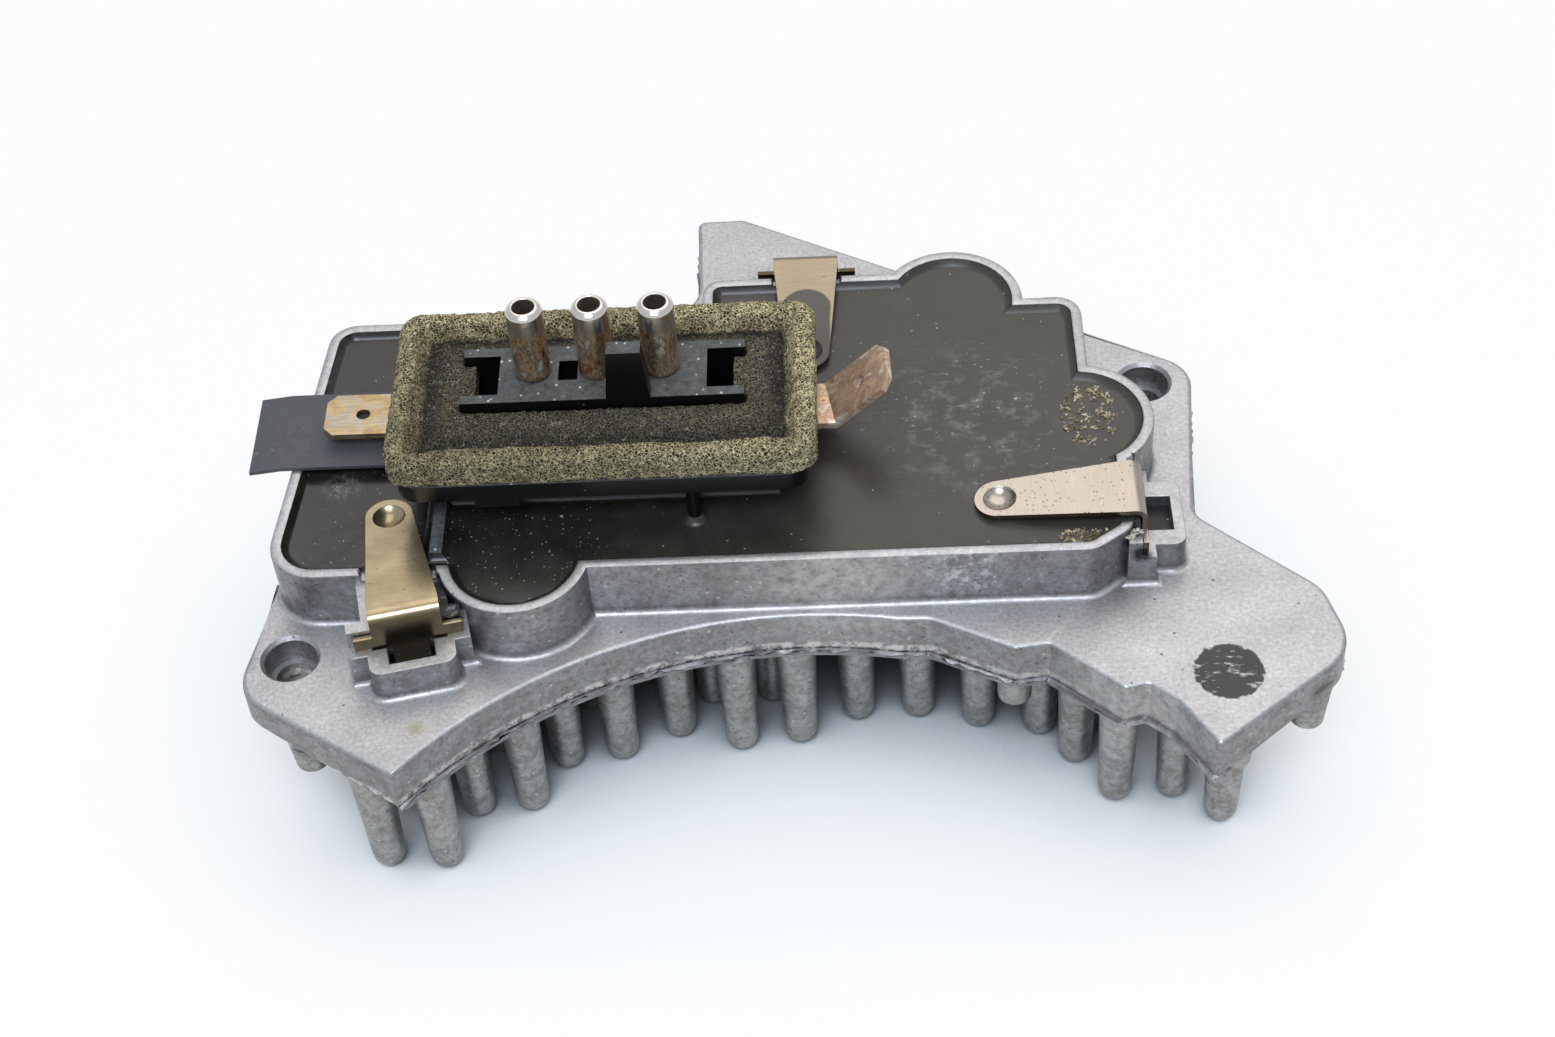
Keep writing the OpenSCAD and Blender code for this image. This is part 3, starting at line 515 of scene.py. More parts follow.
def open_cell_foam():
    """Open-cell polyurethane foam: khaki struts, pores painted dark as shade, greyed where pressed down."""
    material, shader, place = new_material("open_cell_foam")
    settings = bpy.context.scene.resistor_foam
    low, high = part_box("foam_gasket")
    middle = (low + high) / 2
    border = 3.4 * MM
    half = (high - low) / 2 - Vector((border, border, 0))

    # Distance beyond the line where the border meets the pressed track, with a wavy course
    offset = add_node(material, "ShaderNodeVectorMath", {0: place, 1: middle}, operation="SUBTRACT")
    apart = add_node(material, "ShaderNodeVectorMath", {0: offset}, operation="ABSOLUTE")
    beyond = add_node(material, "ShaderNodeVectorMath", {0: apart, 1: half}, operation="SUBTRACT")
    axes = add_node(material, "ShaderNodeSeparateXYZ", {0: beyond}).node.outputs
    ring = add_node(material, "ShaderNodeMath", {0: axes["X"], 1: axes["Y"]}, operation="MAXIMUM")
    wander = add_node(
        material, "ShaderNodeTexNoise", {"Vector": place, "Scale": per_mm(3), "Detail": 3.0}
    )
    wavy = add_node(
        material, "ShaderNodeMath", {0: wander, 1: 1.4 * MM, 2: ring}, operation="MULTIPLY_ADD"
    )
    zone = add_node(material, "ShaderNodeMapRange", {0: wavy, 1: -1.9 * MM, 2: 2.7 * MM})

    # From the middle over the dark track to the border, clouded and fibrous
    edge = [*settings.strut, 1]
    tone = add_node(
        material, "ShaderNodeValToRGB", {"Fac": zone},
        stops=(
            (0.0, paint("#80765f")), (0.3, paint("#5c564b")), (0.52, paint("#31302c")),
            (0.74, edge), (1.0, edge),
        )
    )
    cloud = add_node(
        material, "ShaderNodeTexNoise",
        {"Vector": place, "Scale": per_mm(2.5), "Detail": 5.0, "Roughness": 0.75}
    )
    tone = shaded(material, tone, cloud, 0.55, 1.35)
    fibre = add_node(
        material, "ShaderNodeTexNoise",
        {"Vector": place, "Scale": per_mm(0.26), "Detail": 2.0, "Roughness": 0.8}
    )
    tone = shaded(material, tone, fibre, 0.2, 1.65)
    inner = add_node(material, "ShaderNodeMapRange", {0: zone, 1: 0.4, 2: 0.6, 3: 1.0, 4: 0.0})
    # Painted shade: the pad is painted darker towards the front left
    where = add_node(
        material, "ShaderNodeVectorMath", {0: place, 1: (0.35, 0.65, 0)}, "Value", operation="DOT_PRODUCT"
    )
    front_left_shade = add_node(material, "ShaderNodeMapRange", {0: where, 1: -12 * MM, 2: 8 * MM, 3: 0.5, 4: 0.0})
    tone = coat(material, tone, paint("#4a4635"), front_left_shade)
    tone = coat(material, tone, paint("#a8a193"), inner, blotches(material, place, 0.7, 0.52, 0.64), 0.75)

    # Uneven pores, bent out of a regular pattern, painted dark inside as painted shade
    bent = add_node(
        material, "ShaderNodeTexNoise", {"Vector": place, "Scale": per_mm(1.1), "Detail": 3.0}, "Color"
    )
    pull = [0.5 * MM] * 3
    pulled = add_node(
        material, "ShaderNodeVectorMath", {0: bent, 1: pull, 2: place}, operation="MULTIPLY_ADD"
    )
    pores = add_node(
        material, "ShaderNodeTexVoronoi", {"Vector": pulled, "Scale": per_mm(settings.pore)},
        feature="DISTANCE_TO_EDGE"
    )
    pore_shade = add_node(material, "ShaderNodeMapRange", {0: pores, 1: 0.02, 2: 0.19, 3: 0.0, 4: 1.0})
    depth = blotches(material, place, 0.7, 0.28, 0.52, 0.95)
    strut = add_node(material, "ShaderNodeMath", {0: pore_shade, 1: depth}, operation="MULTIPLY")
    tone = coat(material, tone, paint("#1c1a13"), strut)
    bump = add_node(
        material, "ShaderNodeBump", {"Height": strut, "Distance": 0.18 * MM, "Strength": 0.7}, invert=True
    )
    feed(material, shader, Base_Color=tone, Roughness=0.95, Specular_IOR_Level=0.2, Normal=bump)
    return material


def dusty_plastic():
    """Moulded black polyamide: satin, with pale dust and specks on the faces that look up."""
    material, shader, place = new_material("moulded_black_polyamide")
    lean = upward_lean(material)
    facing = add_node(material, "ShaderNodeMapRange", {0: lean, 1: 0.5, 2: 0.95})
    cloud = add_node(
        material, "ShaderNodeTexNoise",
        {"Vector": place, "Scale": per_mm(0.9), "Detail": 6.0, "Roughness": 0.8}
    )
    dust = add_node(material, "ShaderNodeMapRange", {0: cloud, 1: 0.34, 2: 0.68, 3: 0.25, 4: 1.0})
    laid = add_node(material, "ShaderNodeMath", {0: facing, 1: dust}, operation="MULTIPLY")
    tone = coat(material, paint("#0c0c0d"), paint("#6f6f6e"), laid)
    tone = coat(material, tone, paint("#d6d5d1"), speckles(material, place, 0.9, 0.17, 0.4), facing, 0.9)
    tone = coat(material, tone, paint("#8d8c8a"), speckles(material, place, 2.1, 0.12, 0.25), 0.7)
    rough = add_node(material, "ShaderNodeMapRange", {0: laid, 1: 0.0, 2: 0.8, 3: 0.28, 4: 0.75})
    feed(material, shader, (cloud, 0.04, 0.5), Base_Color=tone, Roughness=rough, Specular_IOR_Level=0.28)
    return material


def tarnished_contact():
    """Silver-plated brass contact: bright at its worn mouth, tarnished brown and orange below."""
    material, shader, place = new_material("tarnished_plated_brass")
    height = add_node(material, "ShaderNodeSeparateXYZ", {0: place}, "Z")
    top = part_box("contact_pin_left")[1].z
    drawn = add_node(material, "ShaderNodeMapping", {"Vector": place, "Scale": (1.0, 1.0, 0.5)})
    cloud = add_node(
        material, "ShaderNodeTexNoise",
        {"Vector": drawn, "Scale": per_mm(1.5), "Detail": 5.0, "Roughness": 0.7}
    )
    metal = add_node(
        material, "ShaderNodeValToRGB", {"Fac": cloud},
        stops=(
            (0.32, paint("#4e3726")), (0.41, paint("#b47446")), (0.48, paint("#e4c8a0")),
            (0.56, paint("#9c7c62")), (0.64, paint("#f8f0e2")),
        )
    )
    ragged = add_node(
        material, "ShaderNodeMath", {0: cloud, 1: 3.2 * MM, 2: height}, operation="MULTIPLY_ADD"
    )
    worn = add_node(material, "ShaderNodeMapRange", {0: ragged, 1: top - 2.0 * MM, 2: top - 0.5 * MM})
    metal = coat(material, metal, paint("#d8d2c8"), worn)
    foot = add_node(
        material, "ShaderNodeMapRange",
        {0: ragged, 1: top - 8.4 * MM, 2: top - 6.9 * MM, 3: 0.75, 4: 0.0}
    )
    metal = coat(material, metal, paint("#4a3c26"), foot)
    metal = coat(material, metal, paint("#cfcabd"), foot, speckles(material, place, 0.6, 0.14, 0.35))
    rough = add_node(material, "ShaderNodeMapRange", {0: worn, 3: 0.3, 4: 0.2})
    metallic = add_node(material, "ShaderNodeMapRange", {0: worn, 3: 0.85, 4: 0.95})
    fine = add_node(
        material, "ShaderNodeTexNoise", {"Vector": place, "Scale": per_mm(0.4), "Detail": 3.0}
    )
    feed(material, shader, (fine, 0.03, 0.5), Base_Color=metal, Metallic=metallic, Roughness=rough)
    return material


def blade_metal(name, colours, heat, metallic):
    """Tin-plated brass blade: brushed along its length, stained in warm and cool bands by heat."""
    material, shader, place = new_material(name)
    cloud = add_node(
        material, "ShaderNodeTexNoise",
        {"Vector": place, "Scale": per_mm(heat), "Detail": 4.0, "Roughness": 0.6, "Distortion": 0.6}
    )
    first, last = 0.3, 0.72
    step = (last - first) / (len(colours) - 1)
    metal = add_node(
        material, "ShaderNodeValToRGB", {"Fac": cloud},
        stops=[(first + step * i, paint(colour)) for i, colour in enumerate(colours)]
    )
    drawn = add_node(material, "ShaderNodeMapping", {"Vector": place, "Scale": (0.12, 1.0, 1.0)})
    brush = add_node(
        material, "ShaderNodeTexNoise", {"Vector": drawn, "Scale": per_mm(0.3), "Detail": 3.0}
    )
    metal = shaded(material, metal, brush, 0.82, 1.1)
    feed(material, shader, (brush, 0.02, 0.5), Base_Color=metal, Metallic=metallic, Roughness=0.34)
    return material


def spring_strip(name, pale, warm, specked, grain, patch=None):
    """Passivated spring strip: pale gold, ground across, dirt specks, painted shade upright, maybe a
    painted reflection.
    """
    material, shader, place = new_material(name)
    cloud = add_node(material, "ShaderNodeTexNoise", {"Vector": place, "Scale": per_mm(5), "Detail": 3.0})
    metal = coat(material, paint(pale), paint(warm), cloud)
    drawn = add_node(material, "ShaderNodeMapping", {"Vector": place, "Scale": grain})
    roll = add_node(
        material, "ShaderNodeTexNoise", {"Vector": drawn, "Scale": per_mm(0.25), "Detail": 3.0}
    )
    metal = shaded(material, metal, roll, 0.93, 1.05)
    metal = coat(material, metal, paint("#4a4030"), speckles(material, place, 0.55, 0.11, specked), 0.8)
    # Painted shade and painted dark reflection: the upright faces are made darker
    metal = coat(material, metal, paint("#362d1c"), upright(material), 0.8)
    metallic = 0.9
    if patch:
        # Painted reflection: a dull dark patch runs up the strip from its tip and ends in an arch
        offset = add_node(
            material, "ShaderNodeVectorMath", {0: place, 1: Vector(patch) * MM}, operation="SUBTRACT"
        )
        upper = add_node(
            material, "ShaderNodeVectorMath", {0: offset, 1: (-1, 0, 0)}, operation="MAXIMUM"
        )
        level = add_node(material, "ShaderNodeVectorMath", {0: upper, 1: (1, 1, 0)}, operation="MULTIPLY")
        far = add_node(material, "ShaderNodeVectorMath", {0: level}, "Value", operation="LENGTH")
        wavy = add_node(
            material, "ShaderNodeMath", {0: cloud, 1: 0.6 * MM, 2: far}, operation="MULTIPLY_ADD"
        )
        arch = add_node(
            material, "ShaderNodeMapRange", {0: wavy, 1: 2.95 * MM, 2: 3.2 * MM, 3: 0.85, 4: 0.0}
        )
        metal = coat(material, metal, paint("#2f2b26"), arch)
        aside = add_node(material, "ShaderNodeSeparateXYZ", {0: offset}, "X")
        wide = add_node(material, "ShaderNodeMath", {0: aside}, operation="ABSOLUTE")
        ears = add_node(material, "ShaderNodeMath", {0: wide, 1: 3.9 * MM}, operation="GREATER_THAN")
        metal = coat(material, metal, paint("#3a3226"), ears, 0.85)
        metallic = add_node(material, "ShaderNodeMapRange", {0: arch, 1: 0.0, 2: 0.85, 3: 0.9, 4: 0.0})
    feed(material, shader, (roll, 0.01, 0.3), Base_Color=metal, Metallic=metallic, Roughness=0.27)
    return material


def flap_sheet():
    """Fibre sheet: matt dark grey, with a faint web of fibres and dust."""
    material, shader, place = new_material("insulating_fibre_sheet")
    web = add_node(
        material, "ShaderNodeTexNoise",
        {"Vector": place, "Scale": per_mm(0.7), "Detail": 6.0, "Roughness": 0.75}
    )
    tone = coat(material, paint("#3d3d40"), paint("#5e5e62"), web)
    tone = coat(material, tone, paint("#8d8d8f"), speckles(material, place, 1.6, 0.14, 0.3), 0.6)
    feed(material, shader, (web, 0.04, 0.5), Base_Color=tone, Roughness=0.6)
    return material


def inner_material(name, first, second, metallic, rough):
    """Plain finish of a part inside the compound, with a slight cloud in its colour."""
    material, shader, place = new_material(name)
    cloud = add_node(
        material, "ShaderNodeTexNoise", {"Vector": place, "Scale": per_mm(1.2), "Detail": 4.0}
    )
    tone = coat(material, paint(first), paint(second), cloud)
    feed(material, shader, Base_Color=tone, Metallic=metallic, Roughness=rough)
    return material


def dried_crumb():
    """Dried plant crumbs: straw yellow to olive brown, matt."""
    material, shader, place = new_material("dried_plant_crumbs")
    cloud = add_node(
        material, "ShaderNodeTexNoise", {"Vector": place, "Scale": per_mm(0.9), "Detail": 3.0}
    )
    tone = add_node(
        material, "ShaderNodeValToRGB", {"Fac": cloud},
        stops=((0.36, paint("#6a5c42")), (0.5, paint("#a5946e")), (0.62, paint("#d8cbac")))
    )
    tone = coat(material, tone, paint("#e0dccf"), around(material, place, CRUST_SPOT, 1, 2), 0.7)
    feed(material, shader, Base_Color=tone, Roughness=0.9)
    return material


# Pieces


class RESISTOR_OT_casting(bpy.types.Operator):
    """Rounds the edges, wall feet and rim of the heat sink casting"""

    bl_idname = "resistor.casting"
    bl_label = "Heat sink casting"

    def execute(self, context):
        settings = context.scene.resistor_casting
        bm = merged_copy("heat_sink")

        def by_screw(edge):
            middle = (edge.verts[0].co + edge.verts[1].co) / 2 / MM
            return any(math.hypot(middle.x - x, middle.y - y) < SCREW_REACH for x, y in SCREWS)

        def hollow(edge, z):
            return at_level(edge, z) and edge.calc_face_angle_signed(0) < 0 and not by_screw(edge)

        def proud(edge, z):
            return at_level(edge, z) and edge.calc_face_angle_signed(0) > 0 and not by_screw(edge)

        def outer(edge):
            return proud(edge, PLATE_Z) or self.plate_corner(edge)

        bevel(bm, corner_edges(bm, lambda e: hollow(e, PLATE_Z)), settings.fillet_radius, 4)
        bevel(bm, corner_edges(bm, outer), settings.edge_radius, 4)
        bevel(bm, corner_edges(bm, lambda e: proud(e, RIM_Z)), settings.rim_radius, 2)
        for level in (LEDGE_Z, SHOULDER_Z):
            bevel(bm, corner_edges(bm, lambda e: proud(e, level)), settings.pocket_radius, 2, clamp=True)
        refill(bm)
        self.roughen_flash(bm)
        finish_piece(bm, "casting", cast_aluminium(), ["heat_sink"])
        return {"FINISHED"}

    def plate_corner(self, edge):
        """Whether an edge is an upright outer corner of the plate."""
        low, high = sorted(v.co.z / MM for v in edge.verts)
        spans = abs(low - PARTING_Z) < LEVEL_GAP and abs(high - PLATE_Z) < LEVEL_GAP
        return spans and edge.calc_face_angle_signed(0) > 0

    def roughen_flash(self, bm):
        """Breaks up the edge of the lower half along the mould's parting line."""
        step = 0.6 * MM
        outward = (-0.1, 0.32)
        upward = (-0.2, 0.16)

        def lip(edge):
            return at_level(edge, PARTING_Z) and edge.calc_face_angle_signed(0) > 0

        edges = corner_edges(bm, lip)
        for count in sorted({int(e.calc_length() / step) for e in edges} - {0}):
            group = [e for e in edges if e.is_valid and int(e.calc_length() / step) == count]
            bmesh.ops.subdivide_edges(bm, edges=group, cuts=count)
        draw = random.Random(4)
        seen = set()
        for edge in corner_edges(bm, lip):
            for vertex in edge.verts:
                if vertex in seen:
                    continue
                seen.add(vertex)
                side = Vector((vertex.normal.x, vertex.normal.y, 0)).normalized()
                vertex.co += side * draw.uniform(*outward) * MM
                vertex.co.z += draw.uniform(*upward) * MM


class RESISTOR_OT_potting(bpy.types.Operator):
    """Gives the potting its look and lifts its edge where it wets the walls"""

    bl_idname = "resistor.potting"
    bl_label = "Potting compound"

    def execute(self, context):
        bm = merged_copy("potting")
        rises = (0.8, 0.42, 0.16)
        band = 0.28 * MM

        def on_top(face):
            return face.normal.z > 0.9 and abs(face.calc_center_median().z / MM - FILL_Z) < 0.05

        surface = [f for f in bm.faces if on_top(f)]
        for rise in rises:
            ring = bmesh.ops.inset_region(
                bm, faces=surface, thickness=band, use_boundary=True, use_even_offset=True
            )["faces"]
            inner = {v for f in surface for v in f.verts}
            for vertex in {v for f in ring for v in f.verts} - inner:
                vertex.co.z = (FILL_Z + rise) * MM
        refill(bm)
        finish_piece(bm, "potting_fill", potting_compound(), ["potting"])
        return {"FINISHED"}


class RESISTOR_OT_foam(bpy.types.Operator):
    """Models the foam gasket as a soft, crumbly pad with a pressed track"""

    bl_idname = "resistor.foam"
    bl_label = "Foam gasket"

    def execute(self, context):
        low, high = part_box("foam_gasket")
        full = high.z - low.z
        cell = 0.22
        passes = 4
        bm = voxel_copy(self.prism(low.z, full), cell)
        for _ in range(passes):
            bmesh.ops.smooth_vert(
                bm, verts=bm.verts, factor=0.5, use_axis_x=True, use_axis_y=True, use_axis_z=True
            )
        settings = context.scene.resistor_foam
        middle = (low + high) / 2
        half = (high - low) / 2
        corner = 2.5 * MM
        for vertex in bm.verts:
            past = [abs(vertex.co[i] - middle[i]) - half[i] + corner for i in (0, 1)]
            inside = corner - math.hypot(max(past[0], 0), max(past[1], 0)) - min(max(past), 0)
            depth = inside / MM + 0.35 * noise.noise(vertex.co * per_mm(6))
            fall = smooth_step(2.0, 3.3, depth)
            rise = smooth_step(3.9, 5.4, depth)
            worn = 0.6 * max(0, 1 - depth / 1.3) ** 2
            pressed = settings.track + rise * (settings.middle - settings.track)
            height = full / MM * (1 - fall) + fall * pressed - worn
            vertex.co.z = low.z + (vertex.co.z - low.z) * height * MM / full
        bm.normal_update()
        for vertex in bm.verts:
            swell = 0.1 * noise.noise(vertex.co * per_mm(5)) + 0.08 * noise.noise(vertex.co * per_mm(1.3))
            crumble = 0.17 * noise.noise(vertex.co * per_mm(0.55))
            vertex.co += vertex.normal * (swell + crumble) * MM
        piece = finish_piece(bm, "foam_pad", open_cell_foam(), ["foam_gasket"], smooth=180)
        return {"FINISHED"}

    def prism(self, base, full):
        """The pad's outline at its base, with its openings, raised straight to the full height."""
        bm = merged_copy("foam_gasket")
        slab = 0.5 * MM
        cut = bmesh.ops.bisect_plane(
            bm, geom=[*bm.verts, *bm.edges, *bm.faces], plane_co=(0, 0, base + slab), plane_no=(0, 0, 1),
            clear_outer=True
        )["geom_cut"]
        outline = [e for e in cut if isinstance(e, bmesh.types.BMEdge)]
        bmesh.ops.triangle_fill(bm, edges=outline, use_beauty=True, normal=(0, 0, 1))
        bmesh.ops.scale(
            bm, vec=(1, 1, full / slab), space=Matrix.Translation((0, 0, -base)), verts=bm.verts
        )
        return bm


class RESISTOR_OT_connector(bpy.types.Operator):
    """Rounds the moulded connector body"""

    bl_idname = "resistor.connector"
    bl_label = "Connector body"

    def execute(self, context):
        rounded_piece("connector_body", "connector_moulding", dusty_plastic(), 0.15)
        return {"FINISHED"}


class RESISTOR_OT_contacts(bpy.types.Operator):
    """Rounds and tarnishes the three round contacts"""

    bl_idname = "resistor.contacts"
    bl_label = "Round contacts"

    def execute(self, context):
        material = tarnished_contact()
        for side in ("left", "middle", "right"):
            rounded_piece(f"contact_pin_{side}", f"contact_{side}", material, 0.2, 3)
        return {"FINISHED"}


class RESISTOR_OT_blades(bpy.types.Operator):
    """Rounds and stains the two blade terminals"""

    bl_idname = "resistor.blades"
    bl_label = "Blade terminals"

    def execute(self, context):
        golden = ("#8f7f76", "#a58c67", "#b69f7a", "#a5a096", "#b2906c", "#baa98b")
        coppery = ("#8c6c54", "#eac6a2", "#bd9a80", "#f8e6ce", "#fdf8ee")
        left = blade_metal("stained_brass_left", golden, 3, 0.9)
        right = blade_metal("stained_brass_right", coppery, 3.6, 0.5)
        rounded_piece("blade_left", "terminal_left", left, 0.1)
        rounded_piece("blade_right", "terminal_right", right, 0.1)
        return {"FINISHED"}


class RESISTOR_OT_clips(bpy.types.Operator):
    """Rounds and finishes the three spring clips"""

    bl_idname = "resistor.clips"
    bl_label = "Spring clips"

    def execute(self, context):
        across = (0.1, 1.0, 1.0)
        ahead = (1.0, 0.1, 1.0)
        finishes = {
            "left": spring_strip("spring_strip_left", "#cbbb98", "#6f5d43", 0.15, across),
            "right": spring_strip("spring_strip_right", "#b5aaa0", "#a1978c", 0.75, ahead),
            "rear": spring_strip("spring_strip_rear", "#988b78", "#857965", 0.12, across, REFLECTION_ARCH_SPOT),
        }
        for side, material in finishes.items():
            rounded_piece(f"clip_{side}", f"spring_clip_{side}", material, 0.1)
        return {"FINISHED"}


class RESISTOR_OT_flap(bpy.types.Operator):
    """Finishes the insulating flap"""

    bl_idname = "resistor.flap"
    bl_label = "Insulating flap"

    def execute(self, context):
        rounded_piece("insulating_flap", "fibre_flap", flap_sheet(), 0.08)
        return {"FINISHED"}


class RESISTOR_OT_crumbs(bpy.types.Operator):
    """Strews dried crumbs in the right bulge of the tray and beside the right clip"""

    bl_idname = "resistor.crumbs"
    bl_label = "Dried crumbs"

    def execute(self, context):
        heaps = (
            ((40.2, 7.2, FILL_Z), (3.2, 4.8), 480),
            ((38.6, -11, FILL_Z), (3.2, 1.1), 150),
            ((43.3, -10.9, SHOULDER_Z), (1.3, 0.8), 110),
        )
        grit = (0.06, 0.2)
        shares = ((0.8, 1.7), (0.6, 1), (0.5, 1))
        tilts = ((-0.4, 0.4), (-0.4, 0.4), (0, math.tau))
        dents = (-0.3, 0.3)
        draw = random.Random(11)
        bm = bmesh.new()
        for centre, reach, count in heaps:
            for _ in range(count):
                turn = draw.uniform(0, math.tau)
                out = math.sqrt(draw.random())
                size = draw.uniform(*grit)
                spot = Vector(centre)
                spot += Vector((reach[0] * out * math.cos(turn), reach[1] * out * math.sin(turn), 0))
                if noise.noise(spot / 1.1) < -0.2:
                    continue
                flat = [size * draw.uniform(*share) for share in shares]
                lean = Euler([draw.uniform(*tilt) for tilt in tilts])
                seat = (spot + Vector((0, 0, 0.5 * flat[2]))) * MM
                crumb = bmesh.ops.create_icosphere(
                    bm, subdivisions=1, radius=MM, matrix=Matrix.LocRotScale(seat, lean, Vector(flat))
                )["verts"]
                for vertex in crumb:
                    vertex.co += (vertex.co - seat) * draw.uniform(*dents)
        finish_piece(bm, "dried_crumbs", dried_crumb(), smooth=50)
        return {"FINISHED"}


class RESISTOR_OT_potted_parts(bpy.types.Operator):
    """Gives the parts inside the compound their finishes"""

    bl_idname = "resistor.potted_parts"
    bl_label = "Potted parts"

    def execute(self, context):
        finishes = {
            "circuit_board": ("glass_laminate", "#1f4a30", "#2f6040", 0.0, 0.5),
            "control_chip": ("moulded_epoxy", "#1a1a1c", "#262628", 0.0, 0.6),
            "shunt_resistor": ("copper_alloy", "#a8765a", "#b98a6c", 1.0, 0.35),
            "transistor": ("moulded_epoxy", "#1a1a1c", "#262628", 0.0, 0.6),
            "pad": ("thermal_pad", "#b9b2a4", "#c9c2b4", 0.0, 0.8),
            "capacitor": ("drawn_can", "#8a8c90", "#a4a6aa", 1.0, 0.35),
            "choke_core": ("sintered_ferrite", "#3a3a3c", "#4c4c4e", 0.0, 0.55),
            "choke_winding": ("enamelled_copper", "#9a5430", "#b4683c", 1.0, 0.3),
        }
        for key, (name, first, second, metallic, rough) in finishes.items():
            material = bpy.data.materials.get(name) or inner_material(name, first, second, metallic, rough)
            for node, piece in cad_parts.items():
                if node.startswith(key):
                    piece.data.materials.clear()
                    piece.data.materials.append(material)
        return {"FINISHED"}


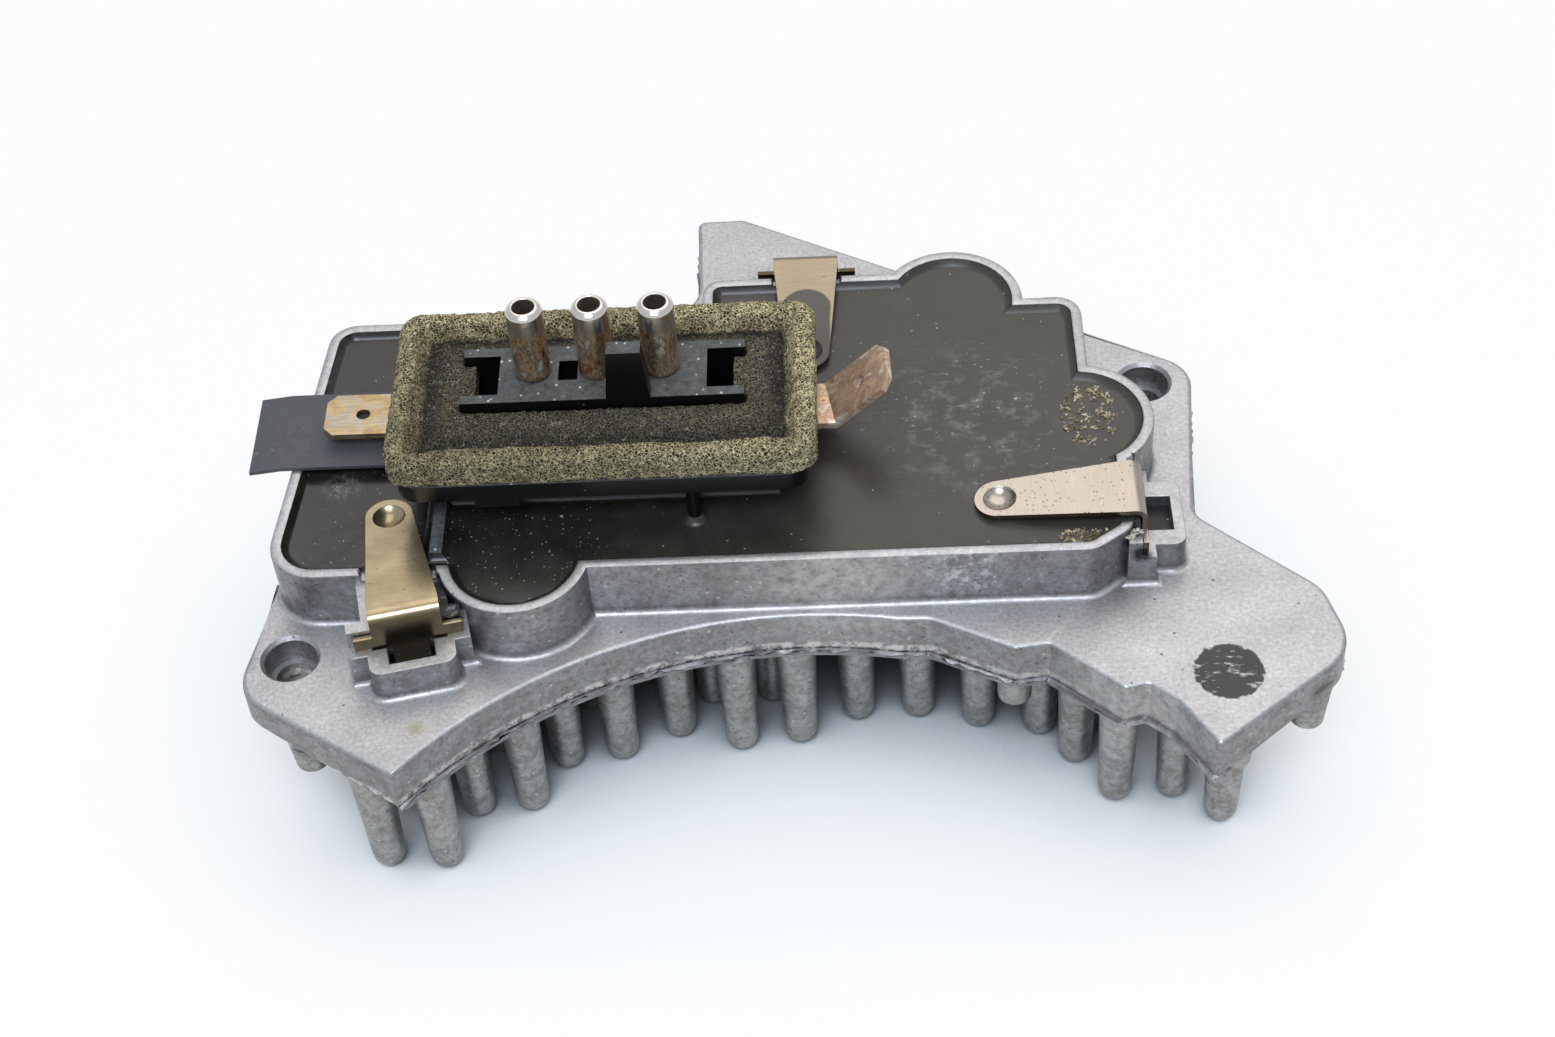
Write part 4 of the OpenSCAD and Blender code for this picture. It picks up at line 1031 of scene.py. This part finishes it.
class RESISTOR_OT_stage(bpy.types.Operator):
    """Sets the floor, the light and the camera"""

    bl_idname = "resistor.stage"
    bl_label = "Stage"

    def execute(self, context):
        self.lay_floor(context.scene)
        self.set_lights(context.scene)
        self.set_camera(context.scene)
        context.scene.view_settings.view_transform = "Standard"
        return {"FINISHED"}

    def seen(self, holder):
        """Mask of the rays that show a surface to the eye, straight or in a reflection."""
        path = add_node(holder, "ShaderNodeLightPath").node.outputs
        first = add_node(
            holder, "ShaderNodeMath", {0: path["Is Camera Ray"], 1: path["Is Glossy Ray"]},
            operation="MAXIMUM"
        )
        return add_node(
            holder, "ShaderNodeMath", {0: first, 1: path["Is Transmission Ray"]}, operation="MAXIMUM"
        )

    def lay_floor(self, scene):
        """A pale card under the fin tips, with painted shadow darkening its colour where the part keeps the
        light off.
        """
        settings = scene.resistor_stage
        bm = bmesh.new()
        bmesh.ops.create_grid(bm, x_segments=1, y_segments=1, size=2)
        bmesh.ops.translate(bm, verts=bm.verts, vec=(0, 0, FIN_TIP_Z * MM))
        mesh = bpy.data.meshes.new("floor")
        bm.to_mesh(mesh)
        bm.free()
        floor = bpy.data.objects.new("floor", mesh)
        scene.collection.objects.link(floor)
        material, shader, _ = new_material("pale_card")
        open_air = add_node(
            material, "ShaderNodeAmbientOcclusion", {"Distance": 60 * MM}, "AO", samples=8
        )
        # Painted shadow: the card's colour darkens where little open air reaches it
        shade = add_node(material, "ShaderNodeMapRange", {0: open_air, 1: 0.04, 2: 0.46, 3: 0.9, 4: 0.0})
        tone = coat(material, [*settings.floor_colour, 1], paint("#2b2a27"), shade)
        feed(material, shader, Base_Color=tone, Roughness=0.9)
        lit = add_node(
            material, "ShaderNodeMapRange",
            {0: open_air, 1: 0.3, 2: 0.86, 3: 0.0, 4: settings.white_share}
        )
        share = add_node(
            material, "ShaderNodeMath", {0: self.seen(material), 1: lit}, operation="MULTIPLY"
        )
        glow = add_node(material, "ShaderNodeEmission", {"Color": paint("#ffffff"), "Strength": 1.0})
        card = add_node(material, "ShaderNodeMixShader", {0: share, 1: shader.outputs[0], 2: glow})
        surface = material.node_tree.nodes["Material Output"].inputs["Surface"]
        material.node_tree.links.new(card, surface)
        mesh.materials.append(material)

    def set_lights(self, scene):
        """A pale blue surround, a wide light behind and a smaller one in front."""
        world = bpy.data.worlds.new("studio")
        world.use_nodes = True
        sky = world.node_tree.nodes["Background"].inputs
        seen = self.seen(world)
        strength = add_node(world, "ShaderNodeMapRange", {0: seen, 3: 0.33, 4: 0.8})
        world.node_tree.links.new(coat(world, paint("#c6d9ea"), paint("#e6eef6"), seen), sky["Color"])
        world.node_tree.links.new(strength, sky["Strength"])
        scene.world = world

        lamps = (
            ("rear_light", (0.13, 0.35, 0.75), (1.0, 0.8), 3.6, "#fff8ef"),
            ("front_light", (-0.04, -0.38, 0.62), (0.35, 0.3), 3.1, "#e6f1ff"),
        )
        for name, place, size, power, colour in lamps:
            lamp = bpy.data.lights.new(name, "AREA")
            lamp.shape = "RECTANGLE"
            lamp.size, lamp.size_y = size
            lamp.energy = power
            lamp.color = linear(colour)
            light = bpy.data.objects.new(name, lamp)
            light.location = place
            light.rotation_mode = "QUATERNION"
            light.rotation_quaternion = (-Vector(place)).to_track_quat("-Z", "Y")
            scene.collection.objects.link(light)

    def set_camera(self, scene):
        """A camera that looks down on the part from the front."""
        settings = scene.resistor_stage
        tilt = math.radians(settings.elevation)
        turn = math.radians(settings.heading)
        level_way = Vector((-math.sin(turn), math.cos(turn), 0))
        forward = level_way * math.cos(tilt) - Vector((0, 0, math.sin(tilt)))
        aim = Vector((5.0, -0.8, PLATE_Z)) * MM
        lens = bpy.data.cameras.new("camera")
        lens.sensor_width = 36
        lens.lens = settings.lens
        lens.clip_start = 0.01
        camera = bpy.data.objects.new("camera", lens)
        camera.location = aim - forward * settings.distance * MM
        camera.rotation_mode = "QUATERNION"
        level = forward.to_track_quat("-Z", "Y")
        camera.rotation_quaternion = level @ Quaternion((0, 0, 1), math.radians(settings.roll))
        scene.collection.objects.link(camera)
        scene.camera = camera


PIECES = (
    RESISTOR_OT_casting, RESISTOR_OT_potting, RESISTOR_OT_foam, RESISTOR_OT_connector, RESISTOR_OT_contacts,
    RESISTOR_OT_blades, RESISTOR_OT_clips, RESISTOR_OT_flap, RESISTOR_OT_crumbs, RESISTOR_OT_potted_parts,
    RESISTOR_OT_stage,
)


class RESISTOR_PT_panel(bpy.types.Panel):
    """Lists the resistor's pieces"""

    bl_idname = "RESISTOR_PT_panel"
    bl_label = "Blower motor resistor"
    bl_space_type = "VIEW_3D"
    bl_region_type = "UI"
    bl_category = "Resistor"

    def draw(self, context):
        for piece in PIECES:
            self.layout.operator(piece.bl_idname)


SETTINGS = {
    "resistor_casting": CastingSettings, "resistor_foam": FoamSettings, "resistor_stage": StageSettings,
}


def register():
    """Makes the settings, the pieces and the panel known."""
    for item in (*SETTINGS.values(), *PIECES, RESISTOR_PT_panel):
        bpy.utils.register_class(item)
    for name, group in SETTINGS.items():
        setattr(bpy.types.Scene, name, bpy.props.PointerProperty(type=group))


def unregister():
    """Takes them away again, in the opposite order."""
    for name in SETTINGS:
        delattr(bpy.types.Scene, name)
    for item in reversed((*SETTINGS.values(), *PIECES, RESISTOR_PT_panel)):
        bpy.utils.unregister_class(item)


def main():
    """Builds every piece and the stage."""
    register()
    for piece in PIECES:
        group, name = piece.bl_idname.split(".")
        getattr(getattr(bpy.ops, group), name)()


if __name__ == "__main__":
    main()
